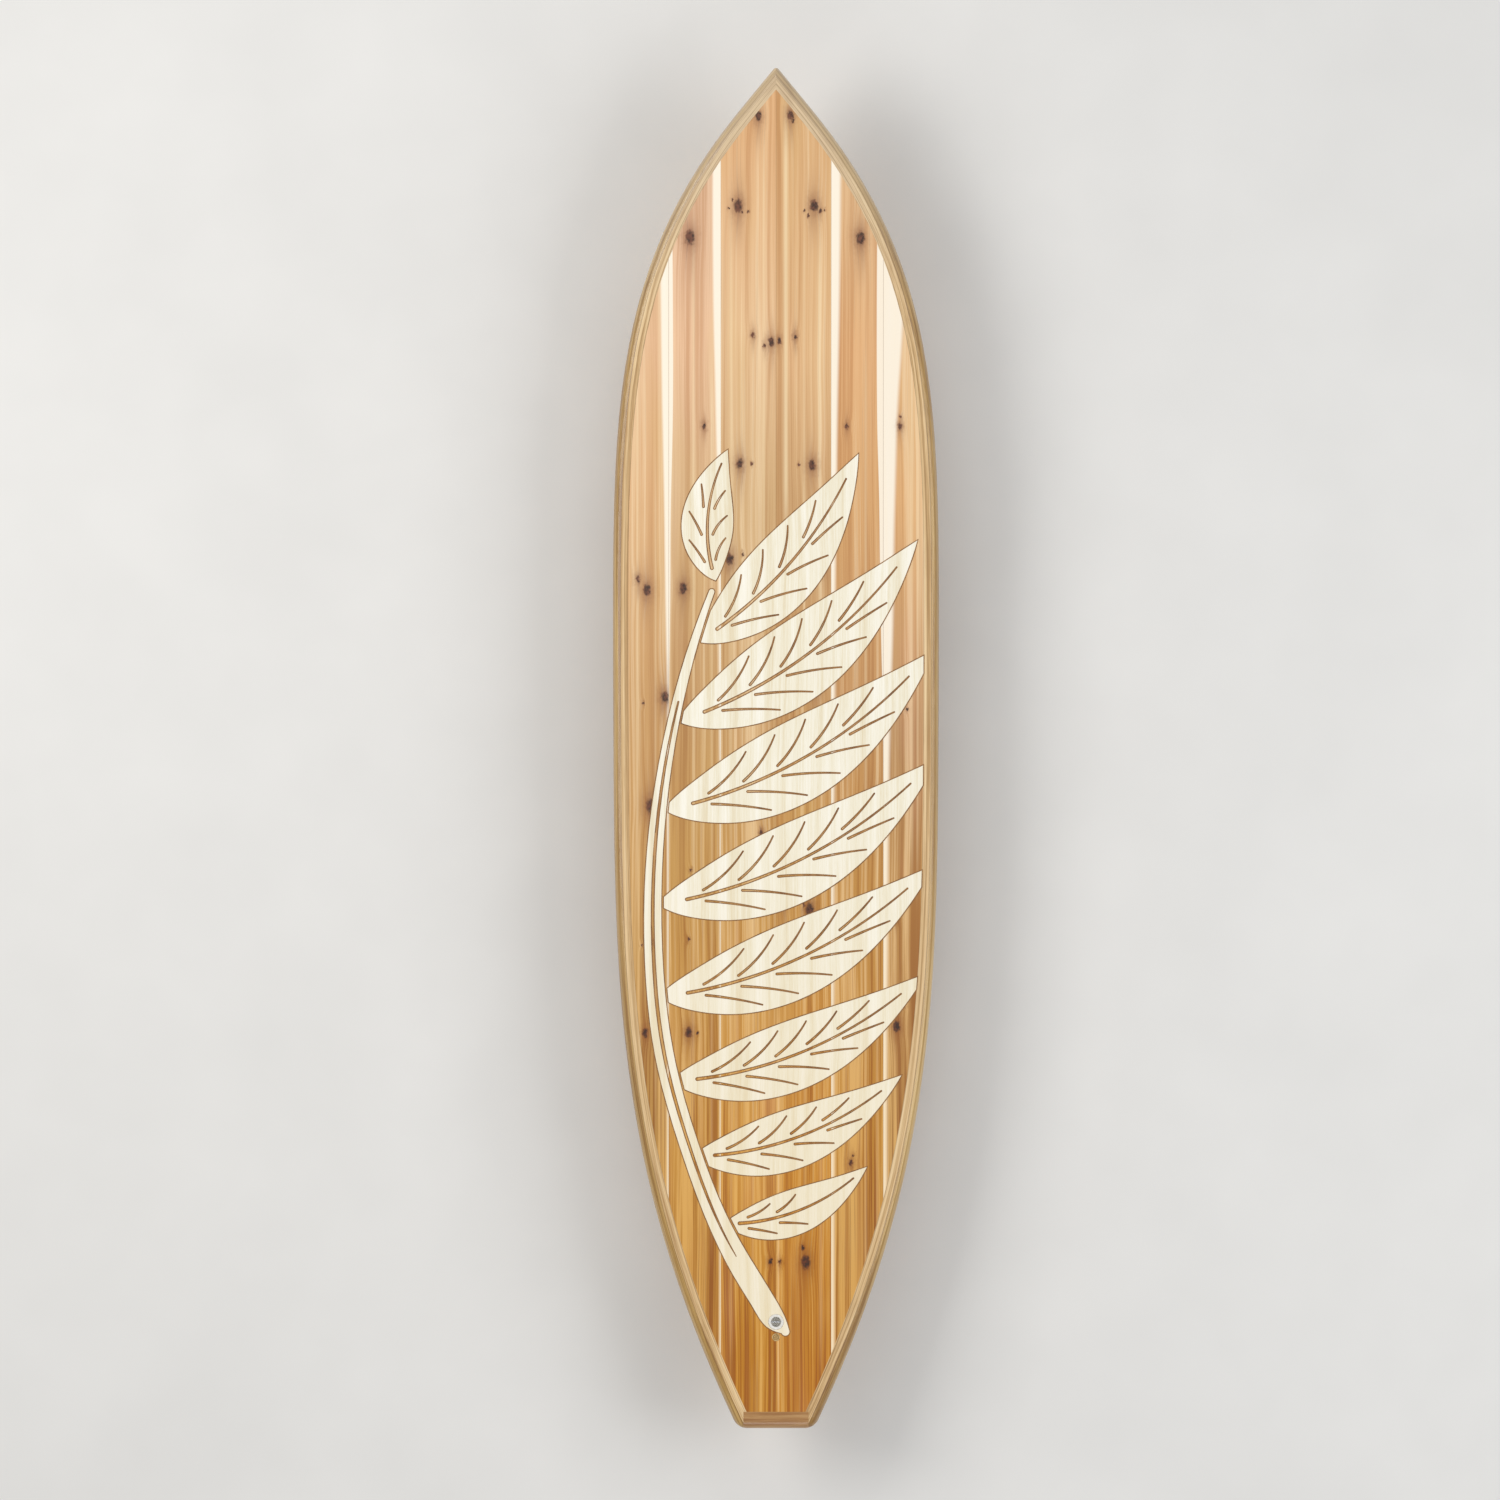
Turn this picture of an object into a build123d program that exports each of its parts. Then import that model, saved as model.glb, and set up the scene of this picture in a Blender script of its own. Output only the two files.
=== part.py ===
from build123d import *
import math
import os

import numpy as np

os.makedirs("parts", exist_ok=True)

# Hollow wooden stand up paddleboard, laid flat with the deck up.
# +X is starboard, +Y runs from tail to nose, +Z is up.  The origin is on the
# centreline at half length, on the flat part of the bottom.  Millimetres.

# ------------------------------------------------------------------ hull form
LENGTH = 3380.0
HALF = LENGTH / 2
# half width of the plan outline at stations along the board, tail to nose
OUTLINE = [
    (95.4, -1690), (118.9, -1640), (154.7, -1560), (200.1, -1450),
    (247.5, -1320), (296.0, -1160), (337.8, -980), (369.9, -780),
    (390.8, -560), (401.0, -330), (404.6, -100), (405.7, 120),
    (406.2, 330), (405.0, 540), (397.9, 740), (379.1, 930),
    (345.0, 1100), (299.3, 1240), (249.3, 1350), (197.7, 1440),
    (143.0, 1520), (88.1, 1590),
]
NOSE_SLOPE = 0.8318          # half width lost per mm over the last 100 mm
TAIL_SLOPE = 0.4754          # half width lost per mm at the tail
NOSE_APEX = 1590 + 88.1 / NOSE_SLOPE
NOSE_TIP_R = 10.0            # plan radius of the nose tip
TAIL_CORNER_R = 37.0         # plan radius of the tail corners
# thickness on the centreline
THICKNESS = [
    (-1690, 58.0), (-1400, 72.0), (-1000, 92.0), (-500, 110.0), (0, 116.0),
    (500, 114.0), (1000, 98.0), (1400, 72.0), (1690, 46.0),
]
FLAT_AFT, FLAT_FWD = -450.0, 350.0    # ends of the flat part of the bottom
NOSE_ROCKER, TAIL_ROCKER = 135.0, 60.0
ROCKER_POWER = 2.2
CROWN = 20.0                 # how far the deck falls from centreline to 406 mm out
TOP_ROUND, BOTTOM_ROUND = 22.0, 16.0  # radii along the rails

# ---------------------------------------------------------------- construction
GLUE = 0.1                   # glue line between neighbouring pieces
SKIN = 6.0                   # deck and bottom planks
RAIL_LAM = 19.0              # one rail lamination; two per side
RAIL = 2 * RAIL_LAM
CHINE = 10.0                 # inner rail that the skins and ribs are glued to
DECK_SEAMS = (0.0, 137.0, 267.0)
BOTTOM_SEAMS = (75.0, 225.0)
TAIL_BLOCK_HALF, TAIL_BLOCK_FRONT = 81.0, -1648.0
TRANSOM_T = 12.0
RIB_T, STRINGER_T = 6.0, 6.0
RIBS = [-1530, -1130, -880, -630, -380, -130, 120, 370, 620, 870, 1120, 1370]
NOSE_BLOCK_AFT = 1560.0
LAP = 0.1                    # slot clearance of the half laps

# --------------------------------------------------------------- deck hardware
LEASH_Y, VENT_Y = -1425.0, -1463.0
PLUG_BLOCK = (-1490.0, -1385.0, 62.0, 26.0)   # aft, forward, width, depth below the deck
CUP_FLANGE_D, CUP_FLANGE_T, CUP_D, CUP_DEPTH = 38.0, 2.4, 30.0, 20.0
CUP_BORE_D = 25.0
BAR_D, BAR_L, BAR_BELOW = 4.0, 27.4, 5.0
VENT_FLANGE_D, VENT_BARREL_D, VENT_LEN = 20.0, 14.0, 19.0
VENT_RECESS_D, VENT_RECESS = 13.0, 4.4
SCREW_HEAD_D, SCREW_HEAD_T, SCREW_D, SCREW_L = 11.6, 2.6, 6.0, 12.0
SEAL_R, SEAL_SECTION = 4.35, 1.7
FIT = 0.05                   # radial clearance of a shaft in its hole

# ------------------------------------------------------------------ fin system
FIN_Y = -1320.0
BOX_L, BOX_W, BOX_H = 267.0, 25.4, 25.4
SLOT_L, SLOT_W, SLOT_H = 240.0, 9.5, 19.0
GROOVE_W, GROOVE_LOW, GROOVE_HIGH = 14.6, 6.0, 12.0
FIN_BLOCK = (-1480.0, -1160.0, 70.0, 31.0)    # aft, forward, width, depth above the bottom
FIN_TAB_T = 9.2
FIN_SPAN = 218.0
PIN_D, PIN_L, PIN_U, PIN_W = 4.6, 14.0, -58.0, 8.6
FSCREW_U, FSCREW_D, FSCREW_HEAD_D = 62.0, 4.0, 7.6
NUT_L, NUT_T = 14.0, 3.0


def cubic(stations):
    """Natural cubic through (x, value) stations, as a function."""
    xs = np.array([s[0] for s in stations], float)
    ys = np.array([s[1] for s in stations], float)
    n = len(xs)
    h = np.diff(xs)
    a = np.zeros((n, n))
    b = np.zeros(n)
    a[0, 0] = a[-1, -1] = 1.0
    for i in range(1, n - 1):
        a[i, i - 1], a[i, i], a[i, i + 1] = h[i - 1], 2 * (h[i - 1] + h[i]), h[i]
        b[i] = 6 * ((ys[i + 1] - ys[i]) / h[i] - (ys[i] - ys[i - 1]) / h[i - 1])
    m = np.linalg.solve(a, b)

    def f(x):
        x = min(max(x, xs[0]), xs[-1])
        i = min(max(int(np.searchsorted(xs, x)) - 1, 0), n - 2)
        t, u = x - xs[i], xs[i + 1] - x
        return float(
            m[i] * u**3 / (6 * h[i]) + m[i + 1] * t**3 / (6 * h[i])
            + (ys[i] / h[i] - m[i] * h[i] / 6) * u
            + (ys[i + 1] / h[i] - m[i + 1] * h[i] / 6) * t
        )
    return f


thick = cubic(THICKNESS)
half_width = cubic([(y, x) for x, y in OUTLINE])


def bottom_z(y):
    if y > FLAT_FWD:
        return NOSE_ROCKER * ((y - FLAT_FWD) / (HALF - FLAT_FWD)) ** ROCKER_POWER
    if y < FLAT_AFT:
        return TAIL_ROCKER * ((FLAT_AFT - y) / (HALF + FLAT_AFT)) ** ROCKER_POWER
    return 0.0


def deck_z(y):
    return bottom_z(y) + thick(y)


CROWN_R = 406.0**2 / (2 * CROWN)


def crown_drop(x):
    return CROWN_R - math.sqrt(CROWN_R**2 - x * x)


def deck_slope(y):
    return (deck_z(y + 1) - deck_z(y - 1)) / 2


def bottom_slope(y):
    return (bottom_z(y + 1) - bottom_z(y - 1)) / 2


# ------------------------------------------------------- hull surfaces as tools
def make_under_deck():
    """Everything below the crowned deck surface."""
    sections = []
    for y in [-1760, -1560, -1340, -1100, -840, -560, -280, 0, 280, 560, 840, 1080, 1290, 1470, 1620, 1760]:
        z = deck_z(y)
        w, drop = 440.0, crown_drop(440.0)
        p = Plane(origin=(0, y, 0), x_dir=(1, 0, 0), z_dir=(0, -1, 0))
        arc = ThreePointArc((-w, z - drop), (0, z), (w, z - drop))
        face = make_face([
            arc,
            Line((w, z - drop), (w, -90)),
            Line((w, -90), (-w, -90)),
            Line((-w, -90), (-w, z - drop)),
        ])
        sections.append(p * face)
    return loft(sections)


def make_above_bottom():
    """Everything above the bottom surface: flat in the middle, kicked up at both ends."""
    p = Plane(origin=(-450, 0, 0), x_dir=(0, 1, 0), z_dir=(1, 0, 0))
    fwd = [FLAT_FWD + t for t in (0, 120, 300, 500, 700, 900, 1100, 1250, 1340, 1430)]
    aft = [FLAT_AFT - t for t in (0, 120, 300, 500, 700, 900, 1100, 1240, 1330)]
    nose = Spline([(y, bottom_z(y)) for y in fwd], tangents=[(1, 0), (1, bottom_slope(fwd[-1]))])
    tail = Spline([(y, bottom_z(y)) for y in aft], tangents=[(-1, 0), (-1, -bottom_slope(aft[-1]))])
    top = 420.0
    face = make_face([
        Line((FLAT_AFT, 0), (FLAT_FWD, 0)),
        nose,
        Line((fwd[-1], bottom_z(fwd[-1])), (fwd[-1], top)),
        Line((fwd[-1], top), (aft[-1], top)),
        Line((aft[-1], top), (aft[-1], bottom_z(aft[-1]))),
        tail,
    ])
    return extrude(p * face, amount=900)


UNDER_DECK = make_under_deck()
ABOVE_BOTTOM = make_above_bottom()


def solid(shape):
    """The one solid of a shape."""
    found = shape.solids()
    assert len(found) == 1, f"{len(found)} solids"
    return found[0]


def slab(deck_dz, bottom_dz):
    return UNDER_DECK.moved(Location((0, 0, deck_dz))) & ABOVE_BOTTOM.moved(Location((0, 0, bottom_dz)))


EXT = 25.0
SIDE = Spline(
    [(-EXT, NOSE_APEX + EXT / NOSE_SLOPE), (30.0, NOSE_APEX - 30 / NOSE_SLOPE)]
    + OUTLINE[::-1],
    tangents=[(NOSE_SLOPE, -1), (-TAIL_SLOPE, -1)],
)


def side_points(inset, n=46):
    """Points on the outline moved inwards by inset."""
    pts = []
    for i in range(n + 1):
        t = i / n
        p, d = SIDE @ t, SIDE % t
        pts.append((p.X + d.Y * inset, p.Y - d.X * inset))
    return pts


def inside(inset, tail=-1720.0, left=-80.0):
    """Starboard half of the plan inside the outline moved in by inset, past the centreline."""
    pts = side_points(inset)
    d0, d1 = SIDE % 0, SIDE % 1
    # run both ends straight on to the limits
    x0, y0 = pts[0]
    k = (left - x0) / d0.X
    start = (left, y0 + k * d0.Y)
    x1, y1 = pts[-1]
    k = (tail - y1) / d1.Y
    end = (x1 + k * d1.X, tail)
    edges = []
    if abs(start[0] - x0) > 1e-6:
        edges.append(Line(start, (x0, y0)))
    edges.append(Spline(pts, tangents=[(d0.X, d0.Y), (d1.X, d1.Y)]))
    edges.append(Line((x1, y1), end))
    edges.append(Line(end, (left, tail)))
    edges.append(Line((left, tail), start))
    return make_face(edges)


def prism(face, low=-120.0, high=420.0):
    return extrude(face.moved(Location((0, 0, low))), amount=high - low, dir=(0, 0, 1))


def box(x0, x1, y0, y1, z0=-120.0, z1=420.0):
    return Solid.make_box(x1 - x0, y1 - y0, z1 - z0).moved(Location((x0, y0, z0)))


def make_half_hull():
    """Starboard half of the board with its rails rounded, from x = 0 outwards."""
    # the tail corner, rounded in plan
    c = Vector(OUTLINE[0][0], -HALF)
    up = Vector(TAIL_SLOPE, 1).normalized()
    inward = Vector(-1, 0)
    angle = math.acos(up.dot(inward))
    t = TAIL_CORNER_R / math.tan(angle / 2)
    a, b = c + up * t, c + inward * t
    bisector = (up + inward).normalized()
    mid = c + bisector * (TAIL_CORNER_R / math.sin(angle / 2) - TAIL_CORNER_R)
    pts = [(-EXT, NOSE_APEX + EXT / NOSE_SLOPE), (30.0, NOSE_APEX - 30 / NOSE_SLOPE)]
    pts += [p for p in OUTLINE[::-1] if p[1] > a.Y + 12] + [(a.X, a.Y)]
    outline = make_face([
        Spline(pts, tangents=[(NOSE_SLOPE, -1), (-TAIL_SLOPE, -1)]),
        ThreePointArc((a.X, a.Y), (mid.X, mid.Y), (b.X, b.Y)),
        Line((b.X, b.Y), (-EXT, -HALF)),
        Line((-EXT, -HALF), (-EXT, NOSE_APEX + EXT / NOSE_SLOPE)),
    ])
    hull = solid(slab(0, 0) & prism(outline))
    # the long edges round the deck and round the bottom
    top, low = [], []
    for e in hull.edges():
        p, q, m = e @ 0.0, e @ 1.0, e @ 0.5
        if max(p.X, q.X, m.X) < -EXT + 0.5:
            continue                      # on the cut past the centreline
        if (p - q).length > 1 and abs(p.X - q.X) < 1 and abs(p.Y - q.Y) < 1:
            continue                      # upright corners
        if abs(p.Y - q.Y) < 1 and p.Y > -HALF + 5:
            continue                      # seams across the bottom
        middle = (deck_z(m.Y) - crown_drop(abs(m.X)) + bottom_z(m.Y)) / 2
        (top if m.Z > middle else low).append(e)
    low_mid = [e @ 0.5 for e in low]
    hull = hull.fillet(TOP_ROUND, top)
    low = [e for e in hull.edges() if any((e @ 0.5 - m).length < 0.01 for m in low_mid)]
    hull = hull.fillet(BOTTOM_ROUND, low)
    # blunt the nose tip in plan
    r, ang = NOSE_TIP_R, math.atan(NOSE_SLOPE)
    cy = NOSE_APEX - r / math.sin(ang)
    tx, ty = r * math.cos(ang), cy + r * math.sin(ang)
    tip = make_face([
        ThreePointArc((-tx, ty), (0, cy + r), (tx, ty)),
        Line((tx, ty), (40, ty - 4)),
        Line((40, ty - 4), (40, 1800)),
        Line((40, 1800), (-40, 1800)),
        Line((-40, 1800), (-40, ty - 4)),
        Line((-40, ty - 4), (-tx, ty)),
    ])
    hull = hull - (prism(tip) & box(-40, 40, ty - 4, 1800))
    return solid(solid(hull) & box(0, 500, -1800, 1800))



def mirrored(shape):
    return shape.mirror(Plane.YZ)


def both(half):
    """A centre piece: a starboard half joined to its mirror image."""
    return solid((half + mirrored(half)).clean())


def cylinder(r, z0, z1, x=0.0, y=0.0):
    return Solid.make_cylinder(r, z1 - z0).moved(Location((x, y, z0)))


NODES = {}


def keep(name, shape):
    NODES[name] = solid(shape)


def pair(name, starboard):
    keep(name + "_R", starboard)
    keep(name + "_L", mirrored(NODES[name + "_R"]))


FAR = 1800.0
SEAM = GLUE / 2
HULL_R = make_half_hull()
INSIDE = {d: prism(inside(d)) for d in (RAIL_LAM, RAIL_LAM + GLUE, RAIL, RAIL + GLUE,
                                        RAIL + GLUE + CHINE, RAIL + 2 * GLUE + CHINE)}
CORE = slab(-SKIN - GLUE, SKIN + GLUE)
DECK_SKIN = UNDER_DECK - UNDER_DECK.moved(Location((0, 0, -SKIN)))
BOTTOM_SKIN = ABOVE_BOTTOM - ABOVE_BOTTOM.moved(Location((0, 0, SKIN)))
TAIL_BOX = box(-200, TAIL_BLOCK_HALF + GLUE, -FAR, TAIL_BLOCK_FRONT + GLUE)


def starboard(shape, y0=-FAR, y1=FAR, x0=SEAM, x1=600.0):
    return shape & box(x0, x1, y0, y1)


# ----------------------------------------------------------- rails and tail block
half = starboard(HULL_R)
pair("rail_outer_band", half - INSIDE[RAIL_LAM] - TAIL_BOX)
pair("rail_inner_band", (half & INSIDE[RAIL_LAM + GLUE]) - INSIDE[RAIL] - TAIL_BOX)
keep("tail_block", both(solid(HULL_R & box(0, TAIL_BLOCK_HALF, -FAR, TAIL_BLOCK_FRONT))))

# ------------------------------------------------------------------ deck hardware
def on_deck(y):
    return Location((0, y, deck_z(y)), (math.degrees(math.atan(deck_slope(y))), 0, 0))


at_cup, at_vent = on_deck(LEASH_Y), on_deck(VENT_Y)
cup_seat = cylinder(CUP_D / 2 + GLUE, -CUP_DEPTH - FIT, 10) + cylinder(CUP_FLANGE_D / 2 + GLUE, -CUP_FLANGE_T / 2 - FIT, 10)
vent_seat = (
    cylinder(VENT_BARREL_D / 2 + GLUE, -VENT_LEN - FIT, 10)
    + cylinder(VENT_FLANGE_D / 2 + GLUE, -1.1 - FIT, 10)
    + cylinder(SCREW_D / 2 + 0.5, -60, 0)
)
cup_seat, vent_seat = cup_seat.moved(at_cup), vent_seat.moved(at_vent)

cup = cylinder(CUP_D / 2, -CUP_DEPTH, 0) + cylinder(CUP_FLANGE_D / 2, -CUP_FLANGE_T / 2, CUP_FLANGE_T / 2)
cup = solid(cup)
cup = cup.fillet(0.9, [e for e in cup.edges() if abs((e @ 0.5).Z - CUP_FLANGE_T / 2) < 0.01])
cup = cup - cylinder(CUP_BORE_D / 2, -CUP_DEPTH + 2.5, 10)
cup = solid(cup)
cup = cup.fillet(0.8, [e for e in cup.edges()
                       if abs((e @ 0.5).Z - CUP_FLANGE_T / 2) < 0.01 and Vector((e @ 0.5).X, (e @ 0.5).Y).length < CUP_BORE_D / 2 + 0.1])
bar_axis = Location((0, 0, -BAR_BELOW), (0, 90, 0))
cup = cup - Solid.make_cylinder(BAR_D / 2 + FIT, BAR_L + 0.2).moved(bar_axis * Location((0, 0, -BAR_L / 2 - 0.1)))
keep("leash_cup", cup.moved(at_cup))
keep("leash_bar", Solid.make_cylinder(BAR_D / 2, BAR_L).moved(at_cup * bar_axis * Location((0, 0, -BAR_L / 2))))

top = 0.5
insert = cylinder(VENT_BARREL_D / 2, -VENT_LEN, 0) + cylinder(VENT_FLANGE_D / 2, -1.1, top)
insert = solid(insert)
insert = insert.fillet(0.5, [e for e in insert.edges() if abs((e @ 0.5).Z - top) < 0.01])
insert = insert - cylinder(VENT_RECESS_D / 2, top - VENT_RECESS, 10) - cylinder(SCREW_D / 2 + FIT, -60, 10)
keep("vent_insert", insert.moved(at_vent))
seal_z = top - VENT_RECESS + SEAL_SECTION / 2 + 0.03
keep("vent_seal", Solid.make_torus(SEAL_R, SEAL_SECTION / 2).moved(at_vent * Location((0, 0, seal_z))))
head_z = seal_z + SEAL_SECTION / 2 + 0.03
screw = cylinder(SCREW_HEAD_D / 2, head_z, head_z + SCREW_HEAD_T) + cylinder(SCREW_D / 2, head_z - SCREW_L, head_z)
screw = solid(screw)
screw = screw.fillet(0.6, [e for e in screw.edges() if abs((e @ 0.5).Z - head_z - SCREW_HEAD_T) < 0.01])
screw = screw.chamfer(0.6, None, [e for e in screw.edges() if abs((e @ 0.5).Z - head_z + SCREW_L) < 0.01])
coin = box(-7, 7, -0.8, 0.8, head_z + SCREW_HEAD_T - 1.3, head_z + SCREW_HEAD_T + 1)
keep("vent_screw", (screw - coin).moved(at_vent))

# ------------------------------------------------------------------- fin system
at_fin = Location((0, FIN_Y, bottom_z(FIN_Y)), (math.degrees(math.atan(bottom_slope(FIN_Y))), 0, 0))


def slot_prism(length, width, w0, w1, u=0.0):
    """Round-ended prism along the board in the fin box's own frame."""
    r = width / 2
    s = length / 2 - r
    face = make_face([
        Line((r, -s), (r, s)),
        ThreePointArc((r, s), (0, s + r), (-r, s)),
        Line((-r, s), (-r, -s)),
        ThreePointArc((-r, -s), (0, -s - r), (r, -s)),
    ])
    return prism(face, w0, w1).moved(Location((0, u, 0)))


fin_box_hole = slot_prism(BOX_L + 2 * GLUE, BOX_W + 2 * GLUE, -30, BOX_H + GLUE).moved(at_fin)
fin_box = slot_prism(BOX_L, BOX_W, -30, BOX_H)
fin_box = fin_box - slot_prism(SLOT_L, SLOT_W, -40, SLOT_H)
fin_box = fin_box - box(-GROOVE_W / 2, GROOVE_W / 2, -SLOT_L / 2 + 2, SLOT_L / 2 - 2, GROOVE_LOW, GROOVE_HIGH)
fin_box = fin_box - box(-GROOVE_W / 2, GROOVE_W / 2, -4, 12, -40, GROOVE_HIGH)
keep("fin_box", fin_box.moved(at_fin) & ABOVE_BOTTOM)

FIN_GAP = 0.6
LEADING = [(0, 50), (30, 41), (70, 24), (120, -6), (165, -42), (200, -80), (FIN_SPAN, -106)]
TRAILING = [(0, -100), (30, -88), (70, -80), (120, -80), (165, -92), (200, -111), (FIN_SPAN, -124)]
FOIL = [(0.0, 0.0), (0.02, 0.40), (0.07, 0.70), (0.17, 0.94), (0.32, 1.0), (0.5, 0.87), (0.7, 0.6), (0.87, 0.32), (1.0, 0.1)]


def foil(s, lead, trail):
    t = FIN_TAB_T / 2 * (1 - 0.68 * (s / FIN_SPAN) ** 1.3)
    pts = [(t * k, lead + (trail - lead) * f) for f, k in FOIL]
    up = Spline(pts, tangents=[(1, 0), (-t * 0.22, trail - lead)])
    down = Spline([(-x, y) for x, y in pts], tangents=[(-1, 0), (t * 0.22, trail - lead)])
    close = Line(pts[-1], (-pts[-1][0], pts[-1][1]))
    return make_face([up, close, down]).moved(Location((0, 0, -FIN_GAP - s)))


blade = loft([foil(s, a, b) for (s, a), (_, b) in zip(LEADING, TRAILING)])
tab = box(-FIN_TAB_T / 2, FIN_TAB_T / 2, -88, 50, -FIN_GAP, 17)
tab = tab.fillet(4, [e for e in tab.edges() if abs((e @ 0.5).Z - 17) < 0.01 and abs((e @ 0.5).X) < 0.01])
lug = box(-FIN_TAB_T / 2, FIN_TAB_T / 2, 49, 78, -FIN_GAP, 4.4)
lug = lug.fillet(4, [e for e in lug.edges() if abs((e @ 0.5).Y - 78) < 0.01 and abs((e @ 0.5).Z - 1.9) < 0.5])
fin = blade + tab + lug
fin = fin - Solid.make_cylinder(PIN_D / 2 + FIT, 40).moved(Location((-20, PIN_U, PIN_W), (0, 90, 0)))
fin = fin - cylinder(FSCREW_D / 2 + FIT, -5, 10, 0, FSCREW_U)
keep("fin", fin.moved(at_fin))
keep("fin_cross_pin", Solid.make_cylinder(PIN_D / 2, PIN_L).moved(at_fin * Location((-PIN_L / 2, PIN_U, PIN_W), (0, 90, 0))))
head = -FIN_GAP - 0.05
fscrew = cylinder(FSCREW_D / 2, head, 13.5, 0, FSCREW_U) + cylinder(FSCREW_HEAD_D / 2, head - 2.3, head, 0, FSCREW_U)
fscrew = solid(fscrew)
fscrew = fscrew.fillet(0.9, [e for e in fscrew.edges() if abs((e @ 0.5).Z - head + 2.3) < 0.01])
fscrew = fscrew.chamfer(0.5, None, [e for e in fscrew.edges() if abs((e @ 0.5).Z - 13.5) < 0.01])
cross = box(-2.4, 2.4, FSCREW_U - 0.5, FSCREW_U + 0.5, head - 4, head - 1.1) + box(-0.5, 0.5, FSCREW_U - 2.4, FSCREW_U + 2.4, head - 4, head - 1.1)
keep("fin_screw", (fscrew - cross).moved(at_fin))
nut = box(-7.1, 7.1, FSCREW_U - NUT_L / 2, FSCREW_U + NUT_L / 2, GROOVE_LOW + 0.05, GROOVE_LOW + 0.05 + NUT_T)
nut = nut.fillet(1.5, [e for e in nut.edges() if abs((e @ 0.0).Z - (e @ 1.0).Z) > 1])
nut = nut - cylinder(FSCREW_D / 2 + FIT, -5, 20, 0, FSCREW_U)
keep("fin_nut_plate", nut.moved(at_fin))

fy0, fy1, fw, fh = FIN_BLOCK
above_block = ABOVE_BOTTOM.moved(Location((0, 0, fh)))
keep("fin_block", (CORE & box(-fw / 2, fw / 2, fy0, fy1)) - above_block - fin_box_hole)
py0, py1, pw, pd = PLUG_BLOCK
keep("plug_block", (CORE & box(-pw / 2, pw / 2, py0, py1)) - UNDER_DECK.moved(Location((0, 0, -pd))) - cup_seat - vent_seat)

# -------------------------------------------------------------------- skeleton
def inset_width(y, inset, n=500):
    pts = side_points(inset, n)[::-1]
    return float(np.interp(y, [p[1] for p in pts], [p[0] for p in pts]))


def core_mid(y):
    return (bottom_z(y) + deck_z(y)) / 2


def slot_x(x0, x1, height, z, y):
    """Round-ended hole through a rib."""
    r = height / 2
    p = Plane(origin=((x0 + x1) / 2, y + 6, z), x_dir=(1, 0, 0), z_dir=(0, -1, 0))
    return extrude(p * SlotOverall(x1 - x0, height), amount=12)


def slot_y(y0, y1, height, z, tilt):
    """Round-ended hole through the stringer."""
    p = Plane(origin=(-6, (y0 + y1) / 2, z), x_dir=(0, math.cos(tilt), math.sin(tilt)), z_dir=(1, 0, 0))
    return extrude(p * SlotOverall(y1 - y0, height), amount=12)


CHINE_IN = RAIL + GLUE + CHINE
pair("inner_rail", starboard((CORE & INSIDE[RAIL + GLUE]) - INSIDE[CHINE_IN], TAIL_BLOCK_FRONT + 2 * GLUE + TRANSOM_T))
w = inset_width(TAIL_BLOCK_FRONT + TRANSOM_T / 2, RAIL + 3 * GLUE) - 4
keep("transom_frame", CORE & box(-w, w, TAIL_BLOCK_FRONT + GLUE, TAIL_BLOCK_FRONT + GLUE + TRANSOM_T))
keep("nose_block", both(solid(starboard(CORE & INSIDE[CHINE_IN + GLUE], NOSE_BLOCK_AFT + GLUE, x0=0.0))))

stringer = CORE & box(-STRINGER_T / 2, STRINGER_T / 2, TAIL_BLOCK_FRONT + TRANSOM_T + 2 * GLUE, NOSE_BLOCK_AFT)
cuts = [
    box(-5, 5, fy0 - GLUE, fy1 + GLUE, -100, 300) - ABOVE_BOTTOM.moved(Location((0, 0, fh + GLUE))),
    box(-5, 5, py0 - GLUE, py1 + GLUE, -100, 300) - UNDER_DECK.moved(Location((0, 0, -pd - GLUE))),
]
for y in RIBS:
    cuts.append(box(-5, 5, y - RIB_T / 2 - LAP / 2, y + RIB_T / 2 + LAP / 2, core_mid(y), 300))
bays = sorted(RIBS[1:] + [1560])
for a, b in zip(bays[:-1], bays[1:]):
    ym = (a + b) / 2
    depth = thick(ym) - 2 * SKIN
    tilt = math.atan((core_mid(b) - core_mid(a)) / (b - a))
    cuts.append(slot_y(a + 38, b - 38, depth * 0.45, core_mid(ym), tilt))
for c in cuts:
    stringer = stringer - c
keep("stringer", stringer)

for n, y in enumerate(RIBS, 1):
    w = min(inset_width(y - RIB_T / 2, CHINE_IN + GLUE), inset_width(y + RIB_T / 2, CHINE_IN + GLUE))
    rib = CORE & box(-w, w, y - RIB_T / 2, y + RIB_T / 2)
    rib = rib - box(-STRINGER_T / 2 - LAP / 2, STRINGER_T / 2 + LAP / 2, y - 6, y + 6, -100, core_mid(y) + LAP)
    spans = [(34, w - 30)] if w < 230 else [(34, w * 0.5 - 14), (w * 0.5 + 14, w - 34)]
    for x0, x1 in spans:
        if x1 - x0 < 50:
            continue
        xm = (x0 + x1) / 2
        height = (thick(y) - crown_drop(x1) - 2 * SKIN) * 0.5
        z = (bottom_z(y) + deck_z(y) - crown_drop(xm)) / 2
        rib = rib - slot_x(x0, x1, height, z, y) - slot_x(-x1, -x0, height, z, y)
    keep(f"rib_{n:02d}", rib)

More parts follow.
